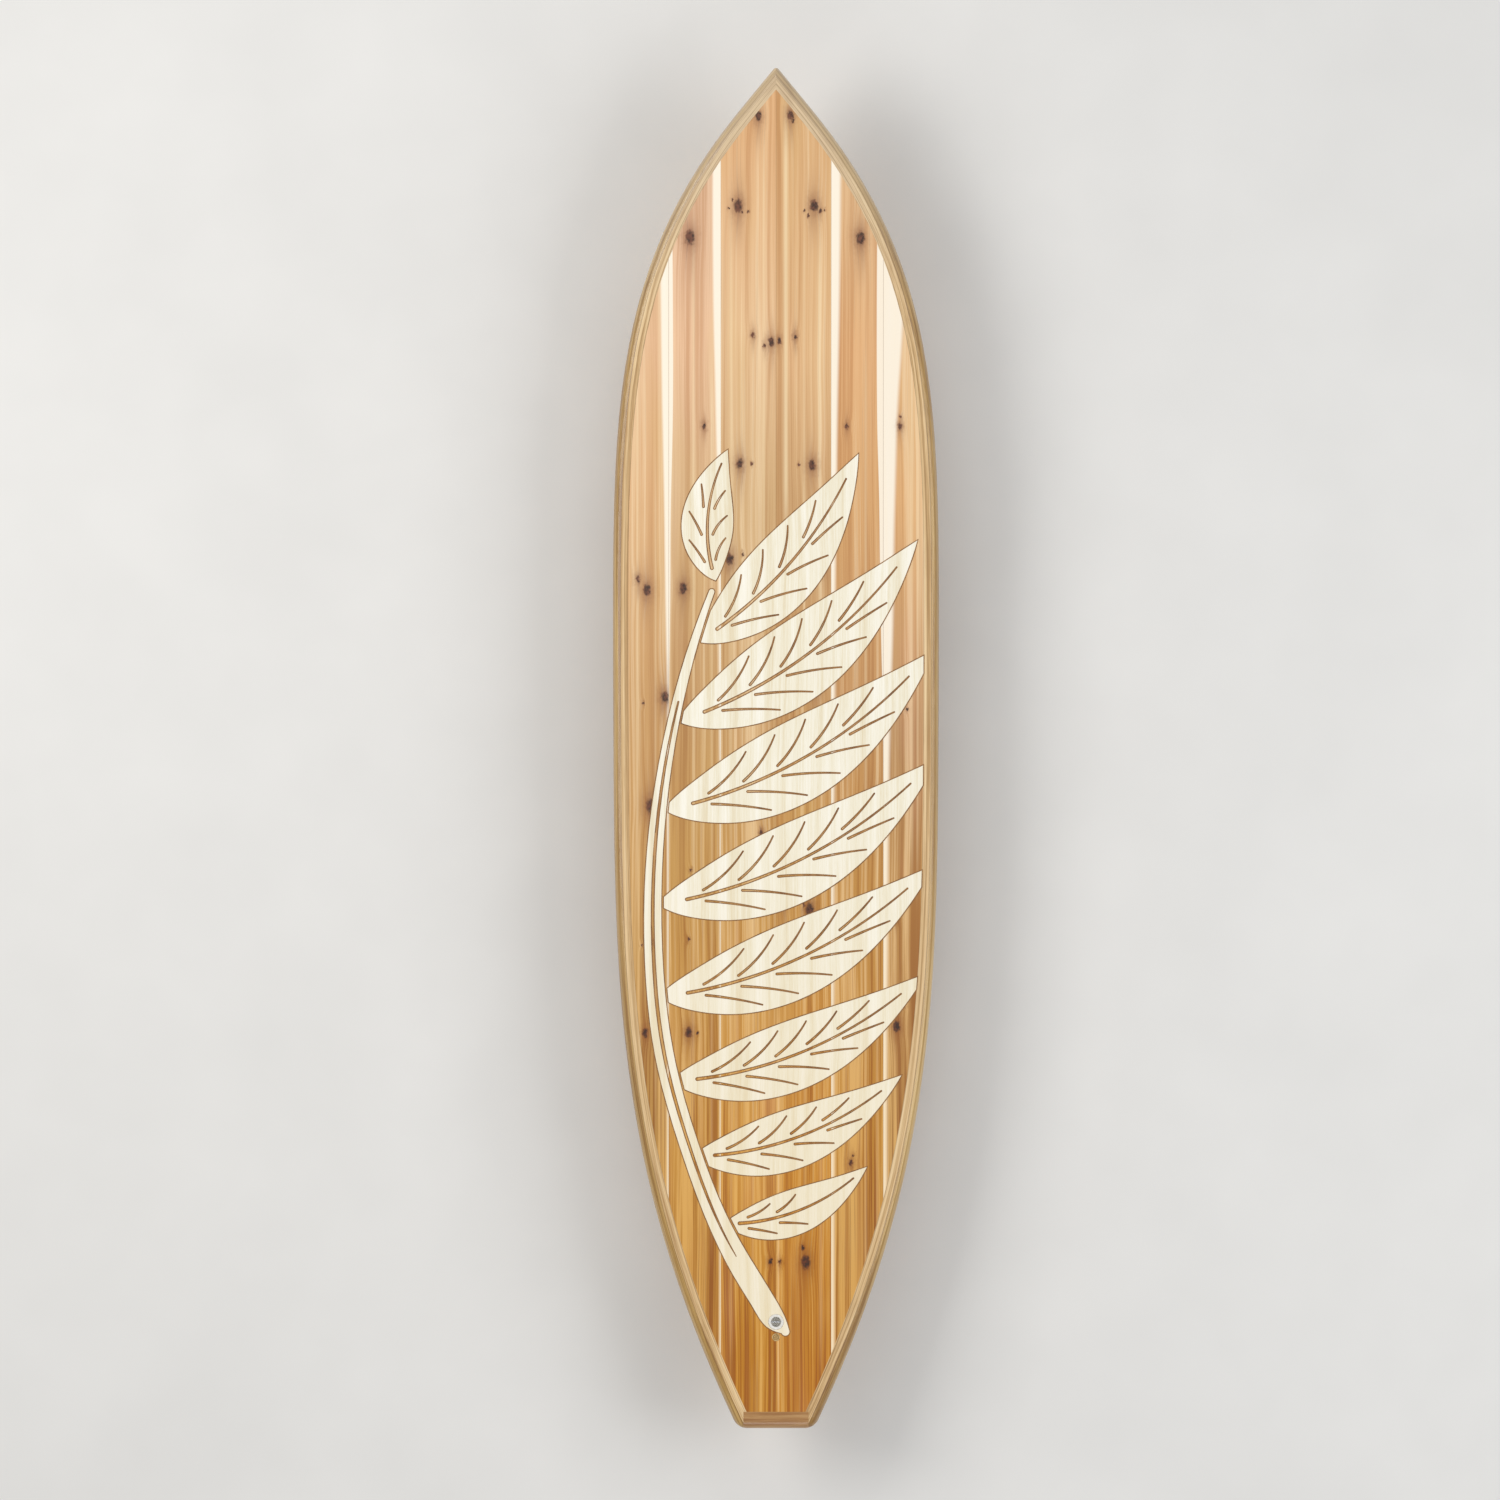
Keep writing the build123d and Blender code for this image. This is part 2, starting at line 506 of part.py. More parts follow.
# ----------------------------------------------------------------------- skins
deck_inside = DECK_SKIN & INSIDE[RAIL + GLUE]
edges = list(DECK_SEAMS) + [600.0]
for name, x0, x1 in zip(("centre", "mid", "outer"), edges[:-1], edges[1:]):
    plank = starboard(deck_inside, TAIL_BLOCK_FRONT + GLUE, x0=x0 + SEAM, x1=x1 - SEAM)
    if name == "centre":
        plank = plank - cup_seat - vent_seat
    pair(f"deck_plank_{name}", plank)

bottom_inside = BOTTOM_SKIN & INSIDE[RAIL + GLUE]
centre = solid(starboard(bottom_inside, TAIL_BLOCK_FRONT + GLUE, x0=0.0, x1=BOTTOM_SEAMS[0] - SEAM))
keep("bottom_plank_centre", both(centre) - fin_box_hole)
pair("bottom_plank_inner", starboard(bottom_inside, TAIL_BLOCK_FRONT + GLUE, x0=BOTTOM_SEAMS[0] + SEAM, x1=BOTTOM_SEAMS[1] - SEAM))
pair("bottom_plank_outer", starboard(bottom_inside, TAIL_BLOCK_FRONT + GLUE, x0=BOTTOM_SEAMS[1] + SEAM))

# ----------------------------------------------------------------------- inlay
INLAY_T = 0.8
INLAY_EDGE = RAIL + 1.0      # the leaves are trimmed along the rail band
# points up the middle of the stem, from the tail end, with its half width there
STEM = [(0, -1425, 25.0), (-30, -1378, 29.0), (-72, -1310, 29.0), (-125, -1215, 26.5), (-215, -990, 23.0),
        (-276, -770, 23.0), (-304, -530, 22.0), (-303, -280, 20.0), (-276, -40, 16.0), (-226, 190, 11.5),
        (-160, 392, 6.5)]
# the tail end carries on round the leash cup to a rounded point
STEM_POINT = [(32, -1444), (30, -1456.5), (14, -1453), (-4, -1447.5)]
# slit up the middle of the stem
SLIT = [(-99, -1262, 1.2), (-125, -1215, 2.4), (-215, -990, 4.2), (-276, -770, 5.0), (-304, -530, 5.0),
        (-303, -280, 4.6), (-276, -40, 3.8), (-243, 118, 2.8)]
# base and tip of the midrib, greatest width, sideways bow of the midrib, veins a side
LEAVES = {
    "inlay_leaf_1": ((-150, 420), (-120, 745), 128, 34, 4),
    "inlay_leaf_2": ((-196, 268), (205, 735), 176, -48, 5),
    "inlay_leaf_3": ((-246, 70), (352, 520), 196, -62, 6),
    "inlay_leaf_4": ((-280, -150), (392, 245), 200, -66, 6),
    "inlay_leaf_5": ((-296, -385), (400, -25), 196, -66, 6),
    "inlay_leaf_6": ((-292, -615), (392, -290), 188, -64, 6),
    "inlay_leaf_7": ((-262, -825), (372, -560), 172, -60, 6),
    "inlay_leaf_8": ((-206, -1012), (312, -812), 148, -50, 5),
    "inlay_leaf_9": ((-128, -1180), (226, -1040), 112, -38, 4),
}
STEM_GAP = 7.0
RIB_END, VEIN_W = 0.9, 7.5


def curve(base, tip, bow):
    """Bowed midrib: point and left-hand normal at t."""
    bx, by = base
    dx, dy = tip[0] - bx, tip[1] - by
    length = math.hypot(dx, dy)
    nx, ny = -dy / length, dx / length
    cx, cy = bx + dx * 0.45 + nx * bow * 2, by + dy * 0.45 + ny * bow * 2

    def at(t, side=0.0):
        x = (1 - t) ** 2 * bx + 2 * t * (1 - t) * cx + t * t * tip[0]
        y = (1 - t) ** 2 * by + 2 * t * (1 - t) * cy + t * t * tip[1]
        tx = 2 * (1 - t) * (cx - bx) + 2 * t * (tip[0] - cx)
        ty = 2 * (1 - t) * (cy - by) + 2 * t * (tip[1] - cy)
        k = math.hypot(tx, ty)
        return (x - ty / k * side, y + tx / k * side)
    return at


def leaf_half(width, t):
    return width / 2 * math.sin(math.pi * t**0.86) ** 0.92


def leaf_face(base, tip, width, bow):
    at = curve(base, tip, bow)
    ts = [0, 0.05, 0.13, 0.24, 0.36, 0.5, 0.64, 0.77, 0.88, 0.95, 1]
    one = [at(t, leaf_half(width, t)) if 0 < t < 1 else at(t) for t in ts]
    two = [at(t, -leaf_half(width, t)) if 0 < t < 1 else at(t) for t in ts]
    return make_face([Spline(one), Spline(two)])


def groove(p, q, m, w0, w1):
    """Curved round-ended groove from p to q through m."""
    def norm(a, b):
        k = math.hypot(b[0] - a[0], b[1] - a[1])
        return (-(b[1] - a[1]) / k, (b[0] - a[0]) / k)
    n0, nm, n1 = norm(p, m), norm(p, q), norm(m, q)
    r0, rm, r1 = w0 / 2, (w0 + w1) / 4, w1 / 2
    a0, am, a1 = ((c[0] + n[0] * r, c[1] + n[1] * r) for c, n, r in ((p, n0, r0), (m, nm, rm), (q, n1, r1)))
    b0, bm, b1 = ((c[0] - n[0] * r, c[1] - n[1] * r) for c, n, r in ((p, n0, r0), (m, nm, rm), (q, n1, r1)))
    e0 = (p[0] - n0[1] * r0, p[1] + n0[0] * r0)
    e1 = (q[0] + n1[1] * r1, q[1] - n1[0] * r1)
    return make_face([
        ThreePointArc(a0, am, a1), ThreePointArc(a1, e1, b1),
        ThreePointArc(b1, bm, b0), ThreePointArc(b0, e0, a0),
    ])


def stem_sides(stations, grow=0.0):
    """Left and right edges of a tapering band, with the direction at each station."""
    left, right, dirs = [], [], []
    for i, (x, y, half) in enumerate(stations):
        a, b = stations[max(i - 1, 0)], stations[min(i + 1, len(stations) - 1)]
        k = math.hypot(b[0] - a[0], b[1] - a[1])
        dx, dy = (b[0] - a[0]) / k, (b[1] - a[1]) / k
        r = half + grow
        left.append((x - dy * r, y + dx * r))
        right.append((x + dy * r, y - dx * r))
        dirs.append((dx, dy))
    return left, right, dirs


def stem_face(grow=0.0):
    left, right, dirs = stem_sides(STEM, grow)
    x, y, half = STEM[-1]
    top = (x + dirs[-1][0] * (half + grow), y + dirs[-1][1] * (half + grow))
    p0, p1, p2, p3 = STEM_POINT
    left = [p2, p3] + left
    right = [p0] + right
    return make_face([
        Spline(left), ThreePointArc(left[-1], top, right[-1]), Spline(right[::-1]),
        ThreePointArc(right[0], p1, left[0]),
    ])


def slit_face():
    left, right, dirs = stem_sides(SLIT)
    (x0, y0, r0), (x1, y1, r1) = SLIT[0], SLIT[-1]
    low = (x0 - dirs[0][0] * r0, y0 - dirs[0][1] * r0)
    high = (x1 + dirs[-1][0] * r1, y1 + dirs[-1][1] * r1)
    return make_face([
        Spline(left), ThreePointArc(left[-1], high, right[-1]), Spline(right[::-1]),
        ThreePointArc(right[0], low, left[0]),
    ])


edge_x = {}


def band_edge(y, inset=INLAY_EDGE):
    if inset not in edge_x:
        pts = side_points(inset, 500)[::-1]
        edge_x[inset] = ([p[1] for p in pts], [p[0] for p in pts])
    ys, xs = edge_x[inset]
    return float(np.interp(y, ys, xs))


LAYER = UNDER_DECK.moved(Location((0, 0, INLAY_T + 0.05))) - UNDER_DECK.moved(Location((0, 0, 0.05)))
TRIM = prism(inside(INLAY_EDGE, left=-500.0))


def bond(face, cuts=()):
    piece = LAYER & prism(face, -20, 300)
    for c in cuts:
        piece = piece - c
    return piece


flange_hole = cylinder(CUP_FLANGE_D / 2 + 0.4, -30, 30).moved(at_cup)
keep("inlay_stem", bond(stem_face() - slit_face(), [flange_hole]))
STEM_CUT = prism(stem_face(STEM_GAP), -20, 300)
for name, (base, tip, width, bow, veins) in LEAVES.items():
    at = curve(base, tip, bow)
    cuts = [TRIM]
    grooves = []
    # midrib, wide at the base, stopping short of the tip
    end = RIB_END
    while end > 0.3 and at(end)[0] > band_edge(at(end)[1]) - 26:
        end -= 0.02
    grooves.append(groove(at(0.1), at(end), at((0.1 + end) / 2), 10.0, 5.0))
    for side in (1, -1):
        for i in range(veins):
            t0 = 0.16 + 0.62 * i / (veins - 1)
            t1 = min(t0 + 0.17 - 0.04 * i / veins, 0.93)
            reach = 1.0
            while True:
                t2 = t0 + (t1 - t0) * reach
                far = (leaf_half(width, t2) - 15) * (0.25 + 0.75 * reach)
                q = at(t2, side * far)
                if far < 26 or q[0] < band_edge(q[1]) - 20 or reach < 0.3:
                    break
                reach -= 0.05
            p = at(t0, side * 14)
            if far < 26 or q[0] > band_edge(q[1]) - 18 or math.hypot(q[0] - p[0], q[1] - p[1]) < 22:
                continue
            m = at(t0 + (t2 - t0) * 0.56, side * (14 + (far - 14) * 0.46))
            grooves.append(groove(p, q, m, VEIN_W, VEIN_W * 0.6))
    face = leaf_face(base, tip, width, bow)
    for g in grooves:
        face = face - g
    face = face.faces()[0] if len(face.faces()) == 1 else sorted(face.faces(), key=lambda f: f.area)[-1]
    piece = (LAYER & prism(face, -20, 300)) & TRIM
    piece = piece - STEM_CUT
    keep(name, sorted(piece.solids(), key=lambda s: s.volume)[-1])

for name, shape in NODES.items():
    export_step(shape, f"parts/{name}.step")
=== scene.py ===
"""Wooden surfboard: knotty cedar planks, laminated rails, maple inlay, fin and fittings.

The board lies flat, deck up (+Z), with its length along Y: the nose at +Y and the tail at -Y.
X runs across it, with the centreline at x = 0. The camera looks straight down on the deck.
"""
from functools import reduce
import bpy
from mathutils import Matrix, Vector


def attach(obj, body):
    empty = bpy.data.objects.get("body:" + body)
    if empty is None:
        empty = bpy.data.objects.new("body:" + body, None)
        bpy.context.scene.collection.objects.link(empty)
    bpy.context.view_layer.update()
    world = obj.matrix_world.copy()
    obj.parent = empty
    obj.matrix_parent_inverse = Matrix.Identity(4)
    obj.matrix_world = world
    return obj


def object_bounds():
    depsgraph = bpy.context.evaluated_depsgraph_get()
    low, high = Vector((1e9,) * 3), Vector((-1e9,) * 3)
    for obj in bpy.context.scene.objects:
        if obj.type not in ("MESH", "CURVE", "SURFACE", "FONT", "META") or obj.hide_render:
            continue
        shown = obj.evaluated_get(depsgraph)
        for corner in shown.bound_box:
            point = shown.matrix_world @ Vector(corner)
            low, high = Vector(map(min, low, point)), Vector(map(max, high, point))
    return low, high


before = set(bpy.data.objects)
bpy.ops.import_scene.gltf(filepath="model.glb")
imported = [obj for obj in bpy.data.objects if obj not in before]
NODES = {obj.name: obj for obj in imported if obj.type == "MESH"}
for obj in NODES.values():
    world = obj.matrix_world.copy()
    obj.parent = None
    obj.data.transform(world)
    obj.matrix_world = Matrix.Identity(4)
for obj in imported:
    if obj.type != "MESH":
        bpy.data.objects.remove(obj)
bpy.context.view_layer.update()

from types import SimpleNamespace

import bmesh
import bpy
from mathutils import Vector

SCENE = bpy.context.scene

# Lengthwise curves and colour ramps cover y from -HALF_SPAN to HALF_SPAN (m).
HALF_SPAN = 1.7
SPAN = 2 * HALF_SPAN

# Glue seams between planks: distance from the centreline (m).
CENTRE_SEAM = 0.0
INNER_SEAM = 0.137
OUTER_SEAM = 0.267

# Outline of the board, tail to nose: (y mm, half width mm).
OUTLINE = [
    (-1690, 95.4), (-1640, 118.9), (-1560, 154.7), (-1450, 200.1), (-1320, 247.5),
    (-1160, 296.0), (-980, 337.8), (-780, 369.9), (-560, 390.8), (-330, 401.0),
    (-100, 404.6), (120, 405.7), (330, 406.2), (540, 405.0), (740, 397.9),
    (930, 379.1), (1100, 345.0), (1240, 299.3), (1350, 249.3), (1440, 197.7),
    (1520, 143.0), (1590, 88.1), (1695.9, 0.0),
]


# ---------------------------------------------------------------- shader helpers
def linear(rgb):
    """Linear RGBA from an 8-bit sRGB colour."""
    channels = []
    for value in rgb:
        value = value / 255.0
        low = value <= 0.04045
        channels.append(value / 12.92 if low else ((value + 0.055) / 1.055) ** 2.4)
    return (*channels, 1.0)


def board_fraction(y_mm):
    """Place along the board as a fraction, 0 at the tail end of the span."""
    return (y_mm / 1000.0 + HALF_SPAN) / SPAN


class Value:
    """A node output; arithmetic on it adds Math nodes."""

    def __init__(self, tree, socket):
        self.tree = tree
        self.socket = socket

    def __add__(self, other):
        return self.tree.math("ADD", self, other)

    def __radd__(self, other):
        return self.tree.math("ADD", other, self)

    def __sub__(self, other):
        return self.tree.math("SUBTRACT", self, other)

    def __mul__(self, other):
        return self.tree.math("MULTIPLY", self, other)

    def __abs__(self):
        return self.tree.math("ABSOLUTE", self)

    def bell(self, rate=1.0):
        """exp(-rate * value squared)"""
        return self.tree.math("EXPONENT", self * self * -rate)

    def step(self, start, end, low=0.0, high=1.0):
        """Smooth step from low, where the value is start, to high, where it is end."""
        node = self.tree.new("ShaderNodeMapRange")
        node.interpolation_type = "SMOOTHSTEP"
        self.tree.put(node.inputs["Value"], self)
        node.inputs["From Min"].default_value = start
        node.inputs["From Max"].default_value = end
        node.inputs["To Min"].default_value = low
        node.inputs["To Max"].default_value = high
        return Value(self.tree, node.outputs[0])


class Tree:
    """A material's node tree. Inputs may be Values or constants, and colours 8-bit sRGB."""

    def __init__(self, name):
        self.material = bpy.data.materials.new(name)
        self.material.use_nodes = True
        self.nodes = self.material.node_tree.nodes
        self.links = self.material.node_tree.links
        self.nodes.clear()
        output = self.new("ShaderNodeOutputMaterial")
        self.shader = self.new("ShaderNodeBsdfPrincipled")
        self.links.new(self.shader.outputs[0], output.inputs[0])
        self.position = Value(self, self.new("ShaderNodeTexCoord").outputs["Object"])

    def new(self, kind):
        return self.nodes.new(kind)

    def put(self, socket, value):
        if isinstance(value, Value):
            self.links.new(value.socket, socket)
        else:
            socket.default_value = value

    def xyz(self):
        """The object coordinates as three Values."""
        node = self.new("ShaderNodeSeparateXYZ")
        self.put(node.inputs[0], self.position)
        return [Value(self, socket) for socket in node.outputs]

    def math(self, operation, *operands, clamp=False):
        node = self.new("ShaderNodeMath")
        node.operation = operation
        node.use_clamp = clamp
        for socket, operand in zip(node.inputs, operands):
            self.put(socket, operand)
        return Value(self, node.outputs[0])

    def vector(self, x, y, z=0.0):
        node = self.new("ShaderNodeCombineXYZ")
        for socket, part in zip(node.inputs, (x, y, z)):
            self.put(socket, part)
        return Value(self, node.outputs[0])

    def distance(self, point, centre):
        node = self.new("ShaderNodeVectorMath")
        node.operation = "DISTANCE"
        self.put(node.inputs[0], point)
        node.inputs[1].default_value = centre
        return Value(self, node.outputs["Value"])

    def noise(self, at, scale=1.0, detail=2.0, rough=0.5):
        """Noise at a vector Value or at three parts, each scaled to its features per metre."""
        node = self.new("ShaderNodeTexNoise")
        self.put(node.inputs["Vector"], at if isinstance(at, Value) else self.vector(*at))
        node.inputs["Scale"].default_value = scale
        node.inputs["Detail"].default_value = detail
        node.inputs["Roughness"].default_value = rough
        return Value(self, node.outputs[0])

    def wobble(self, at, width, detail=2.0):
        """Noise centred on zero, for shifting a coordinate by up to half the width (m)."""
        return (self.noise(at, detail=detail) - 0.5) * width

    def ramp(self, factor, stops):
        """Colour ramp through (place, colour) stops."""
        node = self.new("ShaderNodeValToRGB")
        self.put(node.inputs[0], factor)
        elements = node.color_ramp.elements
        while len(elements) < len(stops):
            elements.new(0.5)
        for element, (place, colour) in zip(elements, stops):
            element.position = place
            element.color = linear(colour)
        return Value(self, node.outputs[0])

    def mix(self, factor, first, second, mode="MIX"):
        node = self.new("ShaderNodeMix")
        node.data_type = "RGBA"
        node.blend_type = mode
        self.put(node.inputs[0], factor)
        for socket, colour in ((node.inputs[6], first), (node.inputs[7], second)):
            self.put(socket, colour if isinstance(colour, Value) else linear(colour))
        return Value(self, node.outputs[2])

    def tint(self, base, mask, strength, colour):
        """Lay a colour over the base where the mask is high."""
        return self.mix(mask * strength, base, colour)

    def profile(self, fraction, stations, reach):
        """Width (m) from (y mm, width mm) stations, each width at most reach (mm)."""
        node = self.new("ShaderNodeFloatCurve")
        self.put(node.inputs["Value"], fraction)
        curve = node.mapping.curves[0]
        while len(curve.points) < len(stations):
            curve.points.new(0.5, 0.5)
        for point, (y, width) in zip(curve.points, stations):
            point.location = (board_fraction(y), width / reach)
            point.handle_type = "AUTO"
        node.mapping.update()
        return Value(self, node.outputs[0]) * (reach / 1000.0)

    def finish(self, colour, roughness, height, bump, depth=0.0004,
               metallic=0.0, coat=0.0, coat_rough=0.1):
        """Connect the shader; height drives a bump of the given strength and depth (m)."""
        inputs = self.shader.inputs
        self.put(inputs["Base Color"], colour)
        self.put(inputs["Roughness"], roughness)
        inputs["Metallic"].default_value = metallic
        inputs["Coat Weight"].default_value = coat
        inputs["Coat Roughness"].default_value = coat_rough
        node = self.new("ShaderNodeBump")
        node.inputs["Strength"].default_value = bump
        node.inputs["Distance"].default_value = depth
        self.put(node.inputs["Height"], height)
        self.links.new(node.outputs[0], inputs["Normal"])
        return self.material


def fraction_along(y):
    return (y + HALF_SPAN) * (1 / SPAN)


def grain_colour(tree, layers, tones, weights=(0.5, 0.34, 0.16)):
    """Colour from the weighted broad, fine and finest grain layers."""
    broad, fine, finest = (layer * weight for layer, weight in zip(layers, weights))
    return tree.ramp((broad + fine + finest).step(start=0.30, end=0.70), tones)


# ------------------------------------------------------------------------- cedar
KNOT_STRETCH = 1.55      # knots are drawn out along the board by this factor
HAZE_STRETCH = 4.8       # so is the darker grain around them
HAZE_SIZE = 1.25         # haze radius over knot radius
HAZE_SHIFT = 0.9         # haze centre towards the tail, in knot radii
HAZE_MIN_RADIUS = 0.0035 # smaller knots (m) have no haze
STREAK_FADE = 0.12       # half length of the fade at each end of a streak (m)
SAPWOOD_REACH = 400.0    # full scale of the sapwood edge curves (mm)

# Grain layers: (features per m across, along, seed offset, noise detail, noise roughness).
BROAD_GRAIN = (21.0, 0.42, 1, 1.0, 0.5)
MEDIUM_GRAIN = (82.0, 0.62, 2, 1.5, 0.5)
FINE_GRAIN = (300.0, 1.5, 4, 2.0, 0.55)
FIBRE_GRAIN = (1300.0, 14.0, 6, 2.0, 0.6)


def measure_knots(tree, board, knots):
    """Set the ragged noise and the distances, in radii, to the nearest knot and haze."""
    x, y, seed = board.x, board.y, board.seed
    board.ragged = tree.noise((x * 130.0, y * 95.0, seed + 3), detail=3.0, rough=0.65)
    ragged_along = tree.noise((x * 110.0, y * 80.0, seed + 7), detail=3.0, rough=0.65)
    # the outlines are shifted by these widths (m) of noise
    knot_point = tree.vector(x + (board.ragged - 0.5) * 0.014,
                             (y + (ragged_along - 0.5) * 0.022) * (1 / KNOT_STRETCH))
    haze_point = tree.vector(x + (board.ragged - 0.5) * 0.010, y * (1 / HAZE_STRETCH))
    near, haze = [], []
    for knot in knots:
        knot_x, knot_y, radius = (length / 1000.0 for length in knot)
        centre = (knot_x, knot_y / KNOT_STRETCH, 0.0)
        near.append(tree.distance(knot_point, centre) * (1 / radius))
        if radius > HAZE_MIN_RADIUS:
            centre = (knot_x, (knot_y - HAZE_SHIFT * radius) / HAZE_STRETCH, 0.0)
            haze.append(tree.distance(haze_point, centre) * (1 / (HAZE_SIZE * radius)))

    def lowest(first, second):
        return tree.math("MINIMUM", first, second)

    board.near = reduce(lowest, near)
    board.haze = reduce(lowest, haze)


def cedar_grain(tree, board, tones):
    """Set the grain layers and return the colour of the plain wood."""
    x, y, seed = board.x, board.y, board.seed
    # slow wander mirrored about the centreline, plus a little of each side's own
    board.wander = tree.wobble((board.across * 2.2, y * 0.9, seed), width=0.030)
    own = tree.wobble((x * 5.0, y * 1.3, seed + 5), width=0.008)
    swell = board.near.bell(rate=0.10)       # the grain bends round the knots
    line = (board.across + board.wander) + (own + swell * 0.006)

    def layer(across, along, offset, detail, rough):
        return tree.noise((line * across, y * along, seed + offset), detail=detail, rough=rough)

    broad = layer(*BROAD_GRAIN)
    medium = board.medium = layer(*MEDIUM_GRAIN)
    fine = board.fine = layer(*FINE_GRAIN)
    board.fibre = layer(*FIBRE_GRAIN)
    drift = tree.noise((x * 8.0, y * 1.1, seed + 9), detail=3.0)

    base = tree.ramp(board.fraction + (drift - 0.5) * 0.10,
                     [(board_fraction(place), tone) for place, tone in tones])
    # light and dark bands, with more contrast towards the tail
    shade = (broad * 0.28 + medium * 0.36) + (fine * 0.28 + board.fibre * 0.08)
    tailward = board.tailward
    shade = 0.5 + (shade - 0.5) * (1.0 + tailward * 0.75)
    dark = shade.step(start=0.51, end=0.38)
    light = shade.step(start=0.50, end=0.62)
    deep = tree.mix(tailward, (214, 188, 160), (204, 172, 118))
    darkened = tree.mix(1.0, base, deep, mode="MULTIPLY")
    colour = tree.mix(0.60 + tailward * 0.30, base, darkened)
    colour = tree.mix(dark, base, colour)
    colour = tree.tint(colour, mask=light, strength=0.46 + tailward * 0.14,
                       colour=tree.mix(tailward, (252, 226, 184), (236, 184, 100)))
    # thin late-wood lines
    lines = (fine.step(start=0.57, end=0.68)
             * medium.step(start=0.30, end=0.62, low=0.25, high=1.0))
    colour = tree.tint(colour, mask=lines, strength=0.26 + tailward * 0.34,
                       colour=(144, 88, 32))
    # drifting pink and straw areas
    colour = tree.tint(colour, mask=drift.step(start=0.54, end=0.72), strength=0.24,
                       colour=(226, 166, 128))
    return tree.tint(colour, mask=drift.step(start=0.44, end=0.28), strength=0.20,
                     colour=(220, 184, 116))


def add_sapwood(tree, board, colour, inner, outer, soft, strength):
    """Pale band between two curves of distance from the centreline."""
    jitter = tree.wobble((board.seed + 2.0, board.y * 2.4, 0.0), width=0.003, detail=1.0)
    inner_edge = tree.profile(board.fraction, inner, SAPWOOD_REACH)
    outer_edge = tree.profile(board.fraction, outer, SAPWOOD_REACH)
    beyond_inner = ((board.across + jitter) - inner_edge).step(start=-0.0006, end=0.0018)
    within_outer = ((board.across + jitter) - outer_edge).step(start=soft / 1000.0, end=-0.0010)
    white = tree.mix((board.fine * 0.5 + board.medium * 0.5) * 0.55,
                     (255, 248, 234), (246, 226, 190))
    white = tree.tint(white, mask=board.tailward, strength=0.6, colour=(250, 220, 168))
    return tree.tint(colour, mask=beyond_inner * within_outer, strength=strength, colour=white)


def add_streak(tree, board, colour, place, width, strength, y_from, y_to):
    """Soft streak along the grain, pale or, where the strength is negative, dark."""
    start, end = y_from / 1000.0, y_to / 1000.0
    offset = ((board.x + board.wander * 0.15) - place / 1000.0) * (1000.0 / width)
    mask = offset.bell() * abs(strength)
    mask = mask * (board.y.step(start=start - STREAK_FADE, end=start + STREAK_FADE)
                   * board.y.step(start=end + STREAK_FADE, end=end - STREAK_FADE))
    if strength > 0:
        streak = tree.mix(board.tailward, (250, 228, 184), (240, 196, 136))
    else:
        broken = board.fine.step(start=0.30, end=0.60, low=0.55, high=1.2)
        mask = tree.math("MULTIPLY", mask, broken, clamp=True)
        streak = tree.mix(board.tailward, (186, 132, 88), (166, 98, 22))
    return tree.mix(mask, colour, streak)


def add_knots(tree, board, colour, core):
    """Darker grain along the board, then a halo, then the ragged core."""
    tailward = board.tailward
    grain = board.fine * 0.5 + board.medium * 0.5
    mist = tree.math("MULTIPLY", board.haze.bell(rate=0.80),
                     grain.step(start=0.34, end=0.66, low=0.35, high=1.25), clamp=True)
    colour = tree.tint(colour, mask=mist, strength=0.50,
                       colour=tree.mix(tailward, (142, 92, 60), (150, 84, 16)))
    colour = tree.tint(colour, mask=board.near.bell(rate=0.42), strength=0.62,
                       colour=tree.mix(tailward, (132, 80, 54), (132, 66, 10)))
    core_colour = tree.mix(board.ragged.step(start=0.38, end=0.64),
                           tree.mix(tailward, (38, 16, 8), (30, 6, 0)),
                           tree.mix(tailward, (106, 60, 40), (92, 38, 2)))
    return tree.tint(colour, mask=core, strength=0.92, colour=core_colour)


def cedar(name, seed, tones, knots, streaks, seams, sapwood=()):
    """Knotty cedar with straight grain along the board; see DECK_PLANKS for the tables."""
    tree = Tree(name)
    x, y, _ = tree.xyz()
    board = SimpleNamespace(x=x, y=y, seed=seed, across=abs(x), fraction=fraction_along(y))
    board.tailward = board.fraction.step(start=0.62, end=0.12)
    measure_knots(tree, board, knots)
    colour = cedar_grain(tree, board, tones)
    for band in sapwood:
        colour = add_sapwood(tree, board, colour, *band)
    for streak in streaks:
        colour = add_streak(tree, board, colour, *streak)
    core = board.near.step(start=1.15, end=0.50)
    colour = add_knots(tree, board, colour, core)
    for seam in seams:
        line = abs(board.across - seam).step(start=0.0013, end=0.0003)
        colour = tree.tint(colour, mask=line, strength=0.34, colour=(140, 96, 56))
    height = (board.fine * 0.5 + board.fibre * 0.3) + core * -1.0
    return tree.finish(colour, roughness=0.30 + (board.fine + core) * 0.12, height=height,
                       bump=0.25, coat=0.5, coat_rough=0.12)


